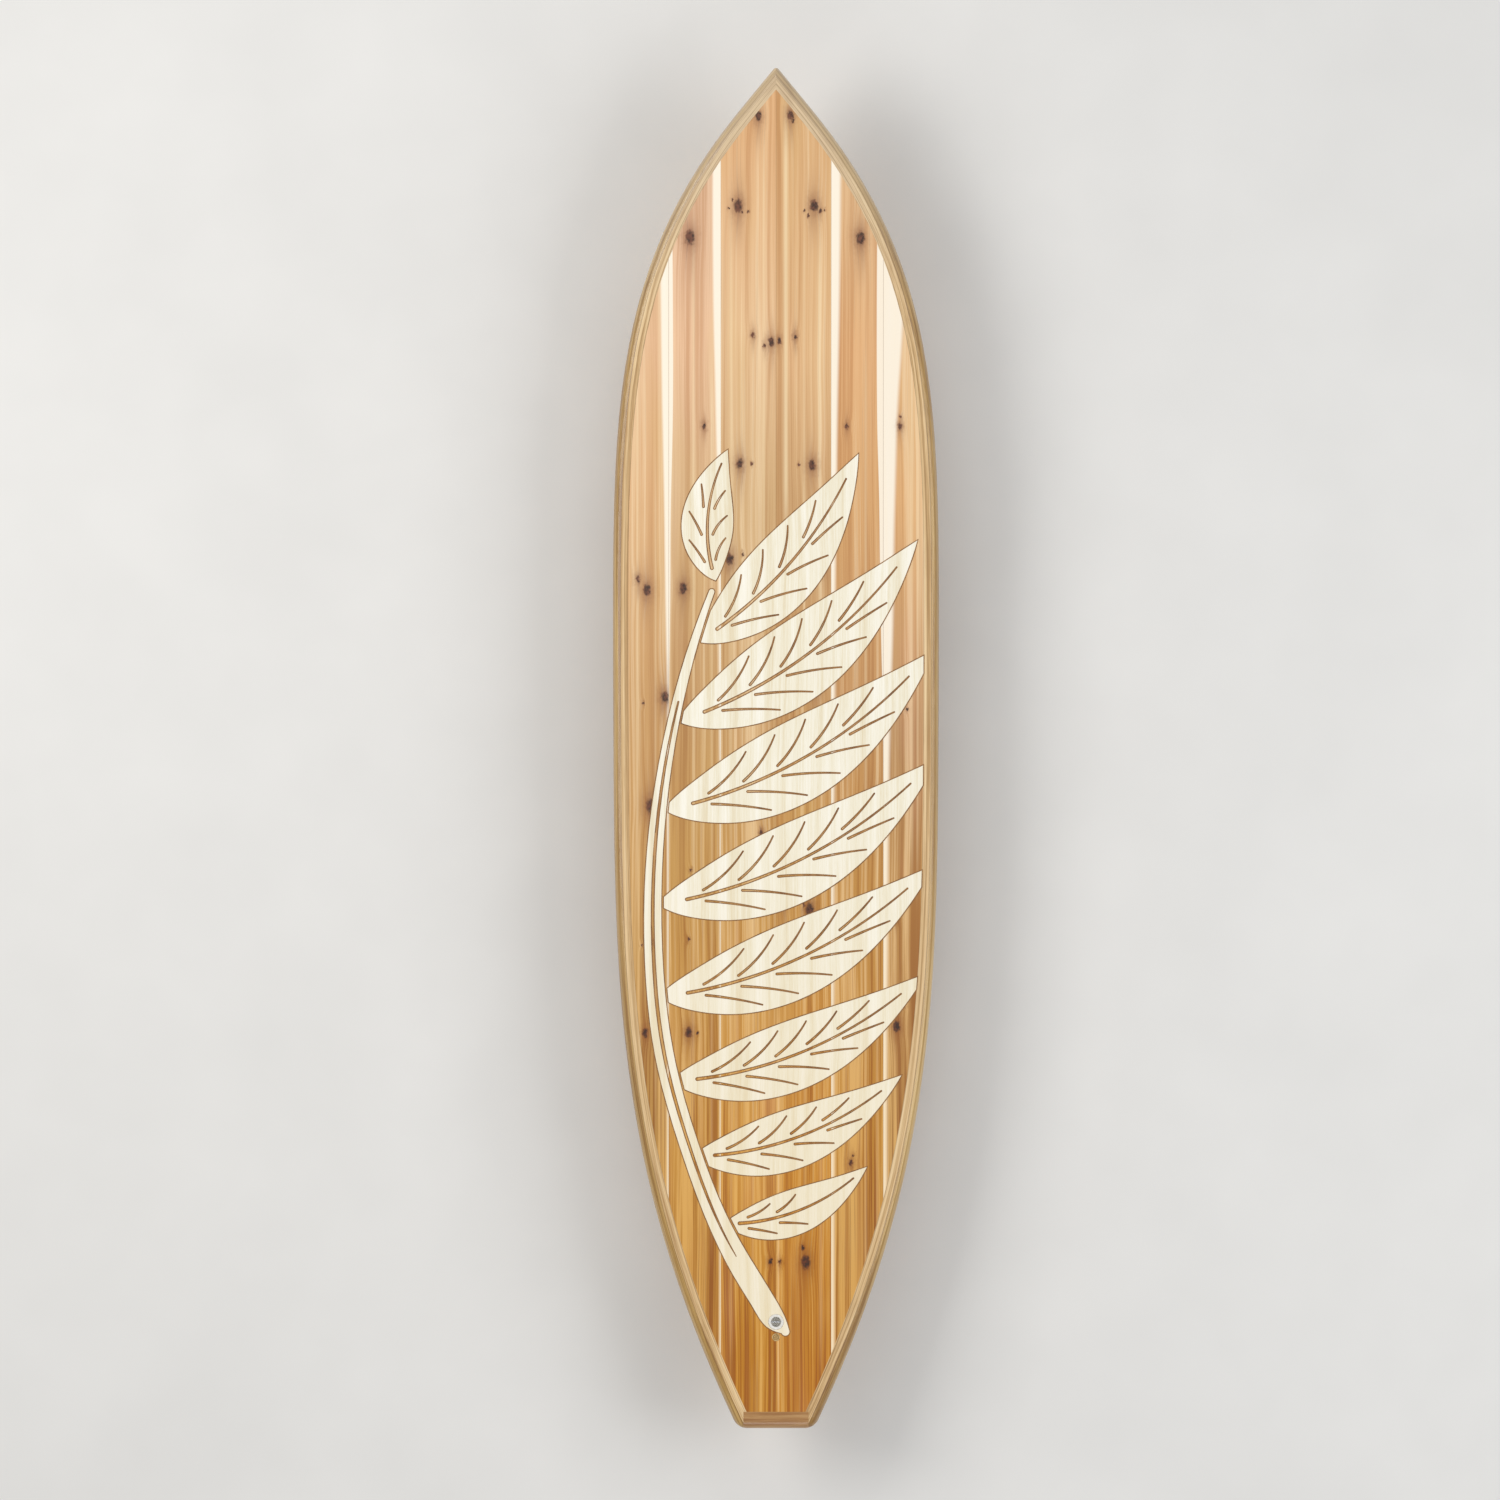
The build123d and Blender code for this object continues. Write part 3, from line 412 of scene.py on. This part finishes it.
# tones: (y mm, colour), tail to nose.
# knots: (x mm, y mm, radius mm).
# sapwood: (inner edge, outer edge, softness of the outer edge mm, strength), each edge
#   being (y mm, distance from the centreline mm) stations.
# streaks: (x mm, width mm, strength, from y mm, to y mm); a negative strength is dark.
DECK_PLANKS = {
    "centre_L": dict(
        seed=1.7,
        tones=[(-1480, (191, 126, 22)), (-1000, (207, 147, 58)), (-350, (196, 146, 74)),
               (100, (200, 157, 102)), (600, (210, 172, 122)), (1000, (230, 190, 145)),
               (1500, (225, 178, 128))],
        knots=[(-45, 1571, 9), (-94, 1350, 12), (-118, 1344, 2.5), (-70, 1336, 2.5),
               (-84, 1334, 2.5), (-108, 1366, 2.5), (-57, 1030, 5), (-12, 1012, 8),
               (-28, 1004, 4), (-90, 709, 9), (-60, 712, 3), (-126, 604, 9),
               (-112, 632, 2.5), (-116, 473, 11), (-82, 486, 3), (-37, -206, 5),
               (-15, -1276, 5), (-88, -1268, 6), (-52, 120, 3)],
        streaks=[(-31, 3.0, 0.30, 300, 1500), (-112, 3.5, 0.25, -1500, 1300),
                 (-58, 3.0, 0.22, -1400, 400), (-74, 9.0, -0.50, -1690, -1440),
                 (-126, 5.0, -0.70, -1500, -1462), (-20, 7.0, -0.42, -1270, -760),
                 (-48, 5.0, -0.30, -1690, -1500), (-96, 6.0, -0.30, -1000, -300)],
        seams=[CENTRE_SEAM]),
    "centre_R": dict(
        seed=4.2,
        tones=[(-1480, (193, 125, 22)), (-1000, (203, 138, 44)), (-350, (196, 142, 68)),
               (100, (196, 150, 96)), (600, (204, 162, 112)), (1000, (226, 184, 134)),
               (1500, (216, 170, 118))],
        knots=[(36, 1574, 9), (42, 1562, 4), (94, 1350, 11), (70, 1338, 2.5),
               (80, 1326, 2.5), (110, 1338, 4), (120, 1342, 2.5), (47, 1026, 5),
               (8, 1016, 5), (90, 706, 10), (58, 708, 3), (126, 601, 8), (118, 634, 2.5),
               (124, 475, 8), (98, 482, 3), (95, 160, 11), (16, -368, 10), (84, -400, 12),
               (70, -388, 4), (46, -806, 5), (74, -1276, 13), (66, -1240, 5),
               (10, -1276, 4)],
        streaks=[(24, 5.5, 0.62, 560, 1560), (6, 2.6, 0.62, -1640, -700),
                 (70, 3.0, 0.25, 300, 1300), (108, 4.0, 0.35, 300, 1250),
                 (112, 4.5, 0.28, -1500, -900), (48, 12.0, -0.52, -1690, -1330),
                 (68, 7.0, -0.50, -1400, -1290), (70, 6.0, -0.35, -1230, -700),
                 (24, 5.0, -0.30, -1690, -1000), (98, 5.0, -0.28, -1690, -1500)],
        seams=[CENTRE_SEAM]),
    "mid_L": dict(
        seed=14.3,
        tones=[(-1300, (184, 126, 44)), (-1000, (198, 142, 58)), (-350, (196, 147, 76)),
               (100, (197, 153, 100)), (600, (218, 180, 136)), (1000, (235, 193, 154)),
               (1500, (228, 190, 156))],
        knots=[(-214, 1272, 13), (-179, 804, 5), (-231, 400, 10), (-217, -474, 3),
               (-217, -706, 10), (-196, -708, 3), (-187, -1027, 7), (-212, -300, 3),
               (-160, 60, 3)],
        sapwood=[([(-1700, 120), (1700, 120)],
                  [(-400, 137.0), (250, 138.2), (600, 141.5), (860, 147), (1100, 152),
                   (1500, 154)], 7.0, 0.95),
                 ([(-1300, 267), (0, 266), (350, 263), (600, 261), (850, 256),
                   (1300, 257)], [(-1700, 300), (1700, 300)], 2.0, 0.92)],
        streaks=[(-205, 3.5, 0.30, -900, 1300), (-160, 3.0, 0.25, -1200, 900),
                 (-207, 8.0, -0.42, -1330, -1240), (-184, 7.0, -0.30, -1300, -700)],
        seams=[INNER_SEAM, OUTER_SEAM]),
    "mid_R": dict(
        seed=18.8,
        tones=[(-1300, (180, 121, 40)), (-1000, (193, 133, 42)), (-350, (194, 141, 68)),
               (100, (196, 146, 92)), (600, (216, 166, 110)), (1000, (228, 178, 125)),
               (1500, (226, 188, 142))],
        knots=[(209, 1270, 12), (176, 804, 5), (218, 404, 5), (239, -141, 12),
               (225, -152, 4), (187, -1030, 6), (192, -1010, 3), (160, -520, 3),
               (236, -700, 7)],
        sapwood=[([(-1700, 120), (1700, 120)],
                  [(-1500, 139.6), (0, 140.2), (600, 144), (860, 148), (1100, 152),
                   (1500, 156)], 11.0, 0.95),
                 ([(-1300, 268), (0, 266), (350, 260), (600, 256), (850, 251),
                   (1300, 251)], [(-1700, 300), (1700, 300)], 2.0, 0.90)],
        streaks=[(223, 3.5, 0.30, -1400, 1000), (252, 3.0, 0.30, -1400, 0),
                 (208, 9.0, -0.50, -1350, -1000), (176, 6.0, -0.30, -1400, -800)],
        seams=[INNER_SEAM, OUTER_SEAM]),
    "outer_L": dict(
        seed=33.9,
        tones=[(-1200, (174, 120, 50)), (-1000, (180, 131, 60)), (-350, (200, 152, 88)),
               (100, (202, 156, 100)), (600, (218, 171, 120)), (1000, (228, 184, 142)),
               (1300, (218, 182, 138))],
        knots=[(-343, 424, 6), (-321, 396, 11), (-311, -141, 14), (-276, 130, 11),
               (-331, 115, 3), (-333, -488, 2.5), (-326, -706, 8), (-297, -480, 7)],
        sapwood=[([(-1700, 240), (1700, 240)],
                  [(-400, 267.6), (160, 269), (350, 271.5), (600, 275), (850, 280),
                   (1100, 283), (1400, 285)], 7.0, 0.95)],
        streaks=[(-345, 4.0, 0.30, -400, 1000), (-300, 3.0, 0.25, -900, 700)],
        seams=[OUTER_SEAM]),
    "outer_R": dict(
        seed=41.5,
        tones=[(-1200, (170, 114, 46)), (-1000, (174, 122, 58)), (-350, (190, 141, 78)),
               (100, (188, 144, 96)), (600, (222, 172, 116)), (1000, (222, 176, 123)),
               (1300, (214, 176, 134))],
        knots=[(309, 804, 6), (311, 826, 3), (316, 160, 5), (325, 100, 3), (300, -690, 10),
               (318, -640, 3), (300, -420, 4)],
        sapwood=[([(-1700, 240), (1700, 240)],
                  [(-1300, 270), (-600, 271.5), (0, 277), (350, 286), (600, 290),
                   (850, 297), (1000, 306), (1300, 321)], 12.0, 0.92)],
        streaks=[(338, 4.0, 0.30, -300, 1100), (352, 3.0, 0.25, -300, 900)],
        seams=[OUTER_SEAM]),
}
BOTTOM_PLANKS = dict(
    seed=57.1,
    tones=[(-1500, (196, 142, 72)), (-700, (206, 154, 88)), (0, (210, 162, 100)),
           (700, (216, 170, 112)), (1500, (222, 180, 126))],
    knots=[(40, 1100, 10), (-22, 620, 7), (58, -150, 11), (-30, -820, 8), (120, 900, 9),
           (-180, 430, 12), (150, -260, 8), (-205, -700, 10), (118, -1180, 8),
           (-260, 760, 9), (300, 210, 11), (-280, -420, 7), (330, -120, 6),
           (-120, 1210, 8), (-100, -420, 6), (240, 540, 7)],
    streaks=[(-150, 5.0, 0.4, -1300, 1300), (97, 4.0, 0.35, -1300, 1300),
             (260, 6.0, 0.4, -900, 1000)],
    seams=[0.075, 0.225])

# ------------------------------------------------------------------ other woods
OUTLINE_REACH = 420.0    # full scale of the outline curve (mm)

# Seams that follow the outline: (m in from it, half width m, core m, strength, colour).
RAIL_SEAMS = [
    (0.0098, 0.0011, 0.0003, 0.28, (120, 86, 50)),
    (0.0289, 0.0011, 0.0003, 0.28, (120, 86, 50)),
    (0.0190, 0.0016, 0.0004, 0.45, (118, 82, 48)),
    (0.0382, 0.0016, 0.0004, 0.45, (118, 82, 48)),
]


def rail(name, seed, tones, grime_strength):
    """Strips bent round the outline, with the grain following it."""
    tree = Tree(name)
    x, y, z = tree.xyz()
    inset = tree.profile(fraction_along(y), OUTLINE, OUTLINE_REACH) - abs(x)
    side = tree.math("SIGN", x)
    line = inset + tree.wobble((seed, y * 1.4, z * 3.0), width=0.012)
    broad = tree.noise((line * 95.0, y * 0.8 + side * 5.0, z * 30.0))
    fine = tree.noise((line * 420.0, y * 3.0 + side * 9.0, z * 150.0), detail=3.0, rough=0.6)
    fibre = tree.noise((line * 1500.0, y * 18.0, z * 700.0), rough=0.6)
    colour = grain_colour(tree, (broad, fine, fibre), tones)
    # paler and greyer towards the nose
    colour = tree.tint(colour, mask=y.step(start=0.9, end=1.62), strength=0.55,
                       colour=(210, 192, 164))
    for place, half_width, core, strength, seam_colour in RAIL_SEAMS:
        seam = abs(inset - place).step(start=half_width, end=core)
        colour = tree.tint(colour, mask=seam, strength=strength, colour=seam_colour)
    # a pale painted highlight where the edge rounds over
    painted_rim_highlight = ((inset - 0.0035) * (1 / 0.004)).bell()
    colour = tree.tint(colour, mask=painted_rim_highlight, strength=0.20, colour=(214, 196, 170))
    grime = tree.noise((x * 9.0, y * 4.0, z * 20.0), detail=4.0, rough=0.6)
    colour = tree.tint(colour, mask=grime.step(start=0.52, end=0.78),
                       strength=grime_strength, colour=(128, 92, 56))
    return tree.finish(colour, roughness=0.34 + fine * 0.16, height=fine * 0.6 + fibre * 0.4,
                       bump=0.22, coat=0.35, coat_rough=0.14)


def block_wood(name, seed, tones, axis, coat=0.0):
    """Wood whose grain runs along one axis, for blocks and plywood."""
    tree = Tree(name)
    x, y, z = tree.xyz()
    along, across, third = {"x": (x, y, z), "y": (y, x, z), "z": (z, x, y)}[axis]
    line = across + tree.wobble((along * 5.0, across * 8.0, seed), width=0.01)
    broad = tree.noise((along * 2.5, line * 110.0, third * 40.0), rough=0.55)
    fine = tree.noise((along * 9.0, line * 520.0, third * 200.0), detail=3.0, rough=0.6)
    pores = tree.noise((along * 60.0, line * 1400.0, third * 900.0), rough=0.6)
    colour = grain_colour(tree, (broad, fine, pores), tones)
    return tree.finish(colour, roughness=0.34 + fine * 0.18, height=fine * 0.6 + pores * 0.4,
                       bump=0.25, coat=coat, coat_rough=0.12)


def inlay_maple():
    tree = Tree("inlay_maple")
    x, y, _ = tree.xyz()
    line = x + tree.wobble((x * 3.0, y * 1.2, 2.0), width=0.06)
    broad = tree.noise((line * 34.0, y * 0.9, 4.0))
    fine = tree.noise((line * 260.0, y * 4.0, 9.0), detail=3.0, rough=0.6)
    fibre = tree.noise((line * 1500.0, y * 40.0, 1.0))
    tones = [(0.1, (230, 216, 184)), (0.4, (240, 232, 208)), (0.65, (246, 240, 222)),
             (0.9, (251, 247, 234))]
    colour = grain_colour(tree, (broad, fine, fibre), tones, weights=(0.5, 0.32, 0.18))
    flecks = tree.noise((x * 420.0, y * 60.0, 3.0)).step(start=0.66, end=0.74)
    colour = tree.tint(colour, mask=flecks, strength=0.16, colour=(206, 178, 130))
    # warmer towards the tail
    colour = tree.tint(colour, mask=y.step(start=0.1, end=-1.3), strength=0.42,
                       colour=(240, 220, 178))
    return tree.finish(colour, roughness=0.30 + fine * 0.12, height=fine * 0.5 + fibre * 0.5,
                       bump=0.15, depth=0.0003, coat=0.5, coat_rough=0.12)


def inlay_edge():
    """Dark line along the cut edges of the inlay: partly the burnt edge's colour, partly
    painted shadow.
    """
    tree = Tree("inlay_edge_line")
    x, y, _ = tree.xyz()
    patches = tree.noise((x * 40.0, y * 22.0, 1.0), detail=3.0, rough=0.6)
    specks = tree.noise(tree.position, scale=900.0, rough=0.6)
    colour = tree.ramp(patches * 0.75 + specks * 0.25, [
        (0.25, (96, 60, 28)), (0.45, (136, 92, 48)), (0.6, (156, 112, 64)),
        (0.8, (176, 132, 82))])
    return tree.finish(colour, roughness=0.34 + specks * 0.16, height=specks,
                       bump=0.2, depth=0.0002, coat=0.4, coat_rough=0.15)


FIN_SLANT = -0.35        # lean of the strips: shift along y per unit of height
FIN_PITCH = 0.052        # one light and one dark strip together (m)


def fin_laminate():
    """Slanting strips side by side, in alternating light and dark woods."""
    tree = Tree("fin_laminate")
    x, y, z = tree.xyz()
    slant = y + z * FIN_SLANT
    phase = tree.math("FRACT", slant * (1 / FIN_PITCH))
    dark = phase.step(start=0.50, end=0.52) * phase.step(start=0.98, end=0.96)
    fine = tree.noise((slant * 520.0, z * 8.0, x * 60.0), detail=3.0, rough=0.6)
    broad = tree.noise((slant * 120.0, z * 3.0, 2.0))
    tone = (fine * 0.5 + broad * 0.5).step(start=0.3, end=0.7)
    light_wood = tree.ramp(tone, [(0.1, (196, 148, 92)), (0.4, (216, 174, 118)),
                                  (0.7, (232, 196, 146)), (0.9, (242, 214, 170))])
    dark_wood = tree.ramp(tone, [(0.1, (96, 52, 28)), (0.4, (122, 70, 40)),
                                 (0.7, (148, 92, 54)), (0.9, (170, 112, 70))])
    colour = tree.mix(dark, light_wood, dark_wood)
    joint = tree.math("MINIMUM", abs(phase - 0.51), abs(phase - 0.97))
    colour = tree.tint(colour, mask=joint.step(start=0.02, end=0.006), strength=0.5,
                       colour=(70, 40, 22))
    return tree.finish(colour, roughness=0.26 + fine * 0.14, height=fine,
                       bump=0.15, depth=0.0003, coat=0.8, coat_rough=0.06)


# ------------------------------------------------------------ fittings and floor
def plastic(name, colours, roughness, bump, scale, coat=0.0):
    """Mottled plastic or rubber; colours are for the fixed ramp places below."""
    tree = Tree(name)
    coarse = tree.noise(tree.position, scale=scale, detail=4.0, rough=0.6)
    fine = tree.noise(tree.position, scale=scale * 9, rough=0.6)
    colour = tree.ramp(coarse * 0.7 + fine * 0.3, list(zip(MOTTLE_STOPS, colours)))
    return tree.finish(colour, roughness=roughness + (coarse - 0.5) * 0.2,
                       height=coarse * 0.3 + fine, bump=bump, depth=0.0002, coat=coat)


def metal(name, colours, roughness, metallic=1.0):
    """Metal with a brushed texture drawn out along x."""
    tree = Tree(name)
    x, y, z = tree.xyz()
    brushed = tree.noise((x * 40.0, y * 400.0, z * 400.0), detail=3.0, rough=0.6)
    specks = tree.noise(tree.position, scale=200.0, detail=3.0, rough=0.6)
    colour = tree.ramp(brushed * 0.5 + specks * 0.5, list(zip(MOTTLE_STOPS, colours)))
    return tree.finish(colour, roughness=roughness + (specks - 0.5) * 0.3, height=brushed,
                       bump=0.15, depth=0.0001, metallic=metallic)


def floor_paint():
    tree = Tree("floor_paint")
    patches = tree.noise(tree.position, scale=3.0, detail=3.0)
    colours = [(221, 220, 217), (223, 222, 219), (225, 224, 221), (226, 225, 222)]
    colour = tree.ramp(patches, list(zip(MOTTLE_STOPS, colours)))
    return tree.finish(colour, roughness=0.85, height=tree.noise(tree.position, scale=400.0),
                       bump=0.05, depth=0.0005)


# Ramp places: for mottled materials, and for rails and blocks.
MOTTLE_STOPS = (0.3, 0.5, 0.7, 0.9)
WOOD_STOPS = (0.2, 0.45, 0.7, 0.9)


def wood_tones(*colours):
    return list(zip(WOOD_STOPS, colours))


# -------------------------------------------------------------- paint the pieces
by_name = {f"deck_plank_{plank}": cedar(f"cedar_{plank}", **spec)
           for plank, spec in DECK_PLANKS.items()}
bottom = cedar("cedar_bottom", **BOTTOM_PLANKS)
rail_outer = rail("rail_outer", seed=3.1, grime_strength=0.26, tones=wood_tones(
    (134, 94, 44), (168, 130, 68), (189, 153, 90), (206, 172, 110)))
rail_inner = rail("rail_inner", seed=8.7, grime_strength=0.18, tones=wood_tones(
    (176, 138, 90), (203, 168, 118), (222, 190, 142), (234, 206, 160)))
tail_wood = block_wood("tail_block_wood", seed=4.4, axis="x", coat=0.5, tones=wood_tones(
    (150, 104, 58), (168, 124, 74), (180, 138, 88), (192, 152, 104)))
plywood = block_wood("plywood", seed=6.1, axis="z", tones=wood_tones(
    (176, 138, 92), (200, 166, 118), (216, 186, 140), (230, 204, 162)))
softwood = block_wood("inner_softwood", seed=7.9, axis="y", tones=wood_tones(
    (178, 136, 86), (204, 164, 112), (220, 184, 134), (234, 204, 158)))
cup_plastic = plastic(
    "cup_plastic", [(206, 203, 196), (228, 225, 217), (242, 240, 234), (248, 247, 243)],
    roughness=0.28, bump=0.12, scale=160.0, coat=0.3)
box_plastic = plastic(
    "fin_box_plastic", [(16, 16, 17), (26, 26, 28), (40, 40, 42), (60, 60, 62)],
    roughness=0.46, bump=0.25, scale=240.0)
rubber = plastic(
    "seal_rubber", [(14, 14, 14), (24, 24, 24), (36, 35, 34), (50, 48, 46)],
    roughness=0.7, bump=0.3, scale=900.0)
steel = metal(
    "stainless", [(150, 152, 154), (184, 186, 188), (206, 207, 208), (222, 222, 222)],
    roughness=0.30)
brass = metal(
    "brass", [(194, 150, 88), (228, 190, 128), (244, 216, 162), (253, 236, 196)],
    roughness=0.34, metallic=0.72)
maple = inlay_maple()
edge_burn_and_shadow = inlay_edge()
laminate = fin_laminate()

BY_PREFIX = {
    "bottom_plank": bottom, "rail_outer": rail_outer, "rail_inner": rail_inner,
    "inlay_": maple, "rib_": plywood,
}
by_name.update({
    "tail_block": tail_wood, "stringer": plywood,
    "transom_frame": softwood, "nose_block": softwood, "fin_block": softwood,
    "plug_block": softwood, "inner_rail_L": softwood, "inner_rail_R": softwood,
    "leash_cup": cup_plastic, "fin_box": box_plastic, "vent_seal": rubber,
    "leash_bar": steel, "fin_cross_pin": steel, "fin_screw": steel,
    "vent_insert": brass, "vent_screw": brass, "fin_nut_plate": brass,
    "fin": laminate,
})


def material_for(name):
    if name in by_name:
        return by_name[name]
    for prefix, material in BY_PREFIX.items():
        if name.startswith(prefix):
            return material
    raise SystemExit("no material for " + name)


for name in NODES:
    piece = NODES[name]
    material = material_for(name)
    if not piece.data.materials:
        piece.data.materials.append(material)
    for slot in piece.material_slots:
        slot.material = material

# ------------------------------------------------------ dark line round the inlay, partly painted shadow
LINE_WIDTH = 0.0025
LINE_HEIGHT = 0.00035
LINE_OUTER_HEIGHT = LINE_HEIGHT * 0.85
LINE_GAP = 0.00003       # clearance from the cut edge
WALL_MAX_Z = 0.4         # faces whose normal has less z than this are side walls


def lower_rim(mesh):
    """Edges where walls meet downward faces, and the wall normals at each vertex."""
    walls = {face for face in mesh.faces if abs(face.normal.z) < WALL_MAX_Z}
    edges = []
    normals = {}
    for edge in mesh.edges:
        faces = edge.link_faces
        if len(faces) != 2 or (faces[0] in walls) == (faces[1] in walls):
            continue
        wall, other = faces if faces[0] in walls else (faces[1], faces[0])
        if other.normal.z > 0:
            continue
        edges.append(edge)
        for vert in edge.verts:
            normal = Vector((wall.normal.x, wall.normal.y, 0)).normalized()
            normals.setdefault(vert, []).append(normal)
    return edges, normals


def bead_corners(bead, point, normals):
    """Four corners of the bead's section at a rim vertex, mitred where walls meet."""
    outward = sum(normals, Vector())
    if outward.length < 1e-6:
        outward = normals[0].copy()
    outward.normalize()
    mitre = 1.0 / max(0.5, outward.dot(normals[0]))
    near = outward * LINE_GAP
    far = outward * LINE_WIDTH * mitre
    section = ((near, LINE_HEIGHT), (far, LINE_OUTER_HEIGHT), (far, 0.0), (near, 0.0))
    return [bead.verts.new(point + offset + Vector((0, 0, height)))
            for offset, height in section]


def add_edge_line(name):
    """A thin closed bead on the deck along every cut edge of an inlay piece."""
    source = bmesh.new()
    source.from_mesh(NODES[name].data)
    bmesh.ops.remove_doubles(source, verts=source.verts, dist=1e-6)
    source.normal_update()
    edges, normals = lower_rim(source)
    bead = bmesh.new()
    corners = {vert: bead_corners(bead, vert.co, around) for vert, around in normals.items()}
    for edge in edges:
        start, end = (corners[vert] for vert in edge.verts)
        for i in range(4):
            j = (i + 1) % 4
            # guards against a face that exists already, if two edges join the same vertices
            try:
                bead.faces.new((start[i], end[i], end[j], start[j]))
            except ValueError:
                pass
    bmesh.ops.recalc_face_normals(bead, faces=bead.faces)
    mesh = bpy.data.meshes.new(name + "_line")
    bead.to_mesh(mesh)
    bead.free()
    source.free()
    line = bpy.data.objects.new(name + "_line", mesh)
    SCENE.collection.objects.link(line)
    mesh.materials.append(edge_burn_and_shadow)
    for polygon in mesh.polygons:
        polygon.use_smooth = False
    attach(line, "board")


for name in sorted(NODES):
    if name.startswith("inlay_"):
        add_edge_line(name)

# ------------------------------------------------------------------------ studio
FLOOR_HALF = 14.0
FLOOR_GAP = 0.004        # floor below the lowest point of the board
FRAMED_WIDTH = 3.732     # width the camera sees at FRAMED_HEIGHT
FRAMED_HEIGHT = 0.11
CAMERA_X, CAMERA_Y = -0.0647, -0.0018

# Area lights: (name, location, target, size, watts, colour).
LIGHTS = [
    ("key", (-4.2, 1.2, 4.6), (0, 0, 0), (4.0, 3.0), 205, (1.0, 0.985, 0.96)),
    ("fill", (4.4, -0.6, 4.2), (0, 0, 0), (4.0, 3.5), 150, (0.97, 0.985, 1.0)),
    ("head", (0.0, 5.2, 3.6), (0, 0.4, 0), (3.0, 2.0), 68, (1, 1, 1)),
    ("foot", (0.0, -5.4, 3.2), (0, -0.4, 0), (3.0, 2.0), 56, (1, 1, 1)),
]


def add_floor():
    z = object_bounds()[0][2] - FLOOR_GAP
    signs = ((-1, -1), (1, -1), (1, 1), (-1, 1))
    mesh = bpy.data.meshes.new("floor")
    mesh.from_pydata([(i * FLOOR_HALF, j * FLOOR_HALF, z) for i, j in signs],
                     [], [(0, 1, 2, 3)])
    floor = bpy.data.objects.new("floor", mesh)
    SCENE.collection.objects.link(floor)
    mesh.materials.append(floor_paint())


def add_light(name, location, target, size, watts, colour):
    data = bpy.data.lights.new(name, "AREA")
    data.shape = "RECTANGLE"
    data.size, data.size_y = size
    data.energy = watts
    data.color = colour
    light = bpy.data.objects.new(name, data)
    light.location = location
    aim = Vector(target) - Vector(location)
    light.rotation_euler = aim.to_track_quat("-Z", "Y").to_euler()
    SCENE.collection.objects.link(light)


def add_world():
    world = bpy.data.worlds.new("studio")
    SCENE.world = world
    world.use_nodes = True
    background = world.node_tree.nodes["Background"]
    background.inputs["Color"].default_value = (0.98, 0.98, 1.0, 1.0)
    background.inputs["Strength"].default_value = 0.32


def add_camera():
    data = bpy.data.cameras.new("camera")
    data.lens = 200
    data.sensor_width = 36
    data.clip_end = 200
    camera = bpy.data.objects.new("camera", data)
    distance = FRAMED_WIDTH * data.lens / data.sensor_width
    camera.location = (CAMERA_X, CAMERA_Y, FRAMED_HEIGHT + distance)
    SCENE.collection.objects.link(camera)
    SCENE.camera = camera


add_floor()
for light_spec in LIGHTS:
    add_light(*light_spec)
add_world()
SCENE.view_settings.view_transform = "Standard"
add_camera()
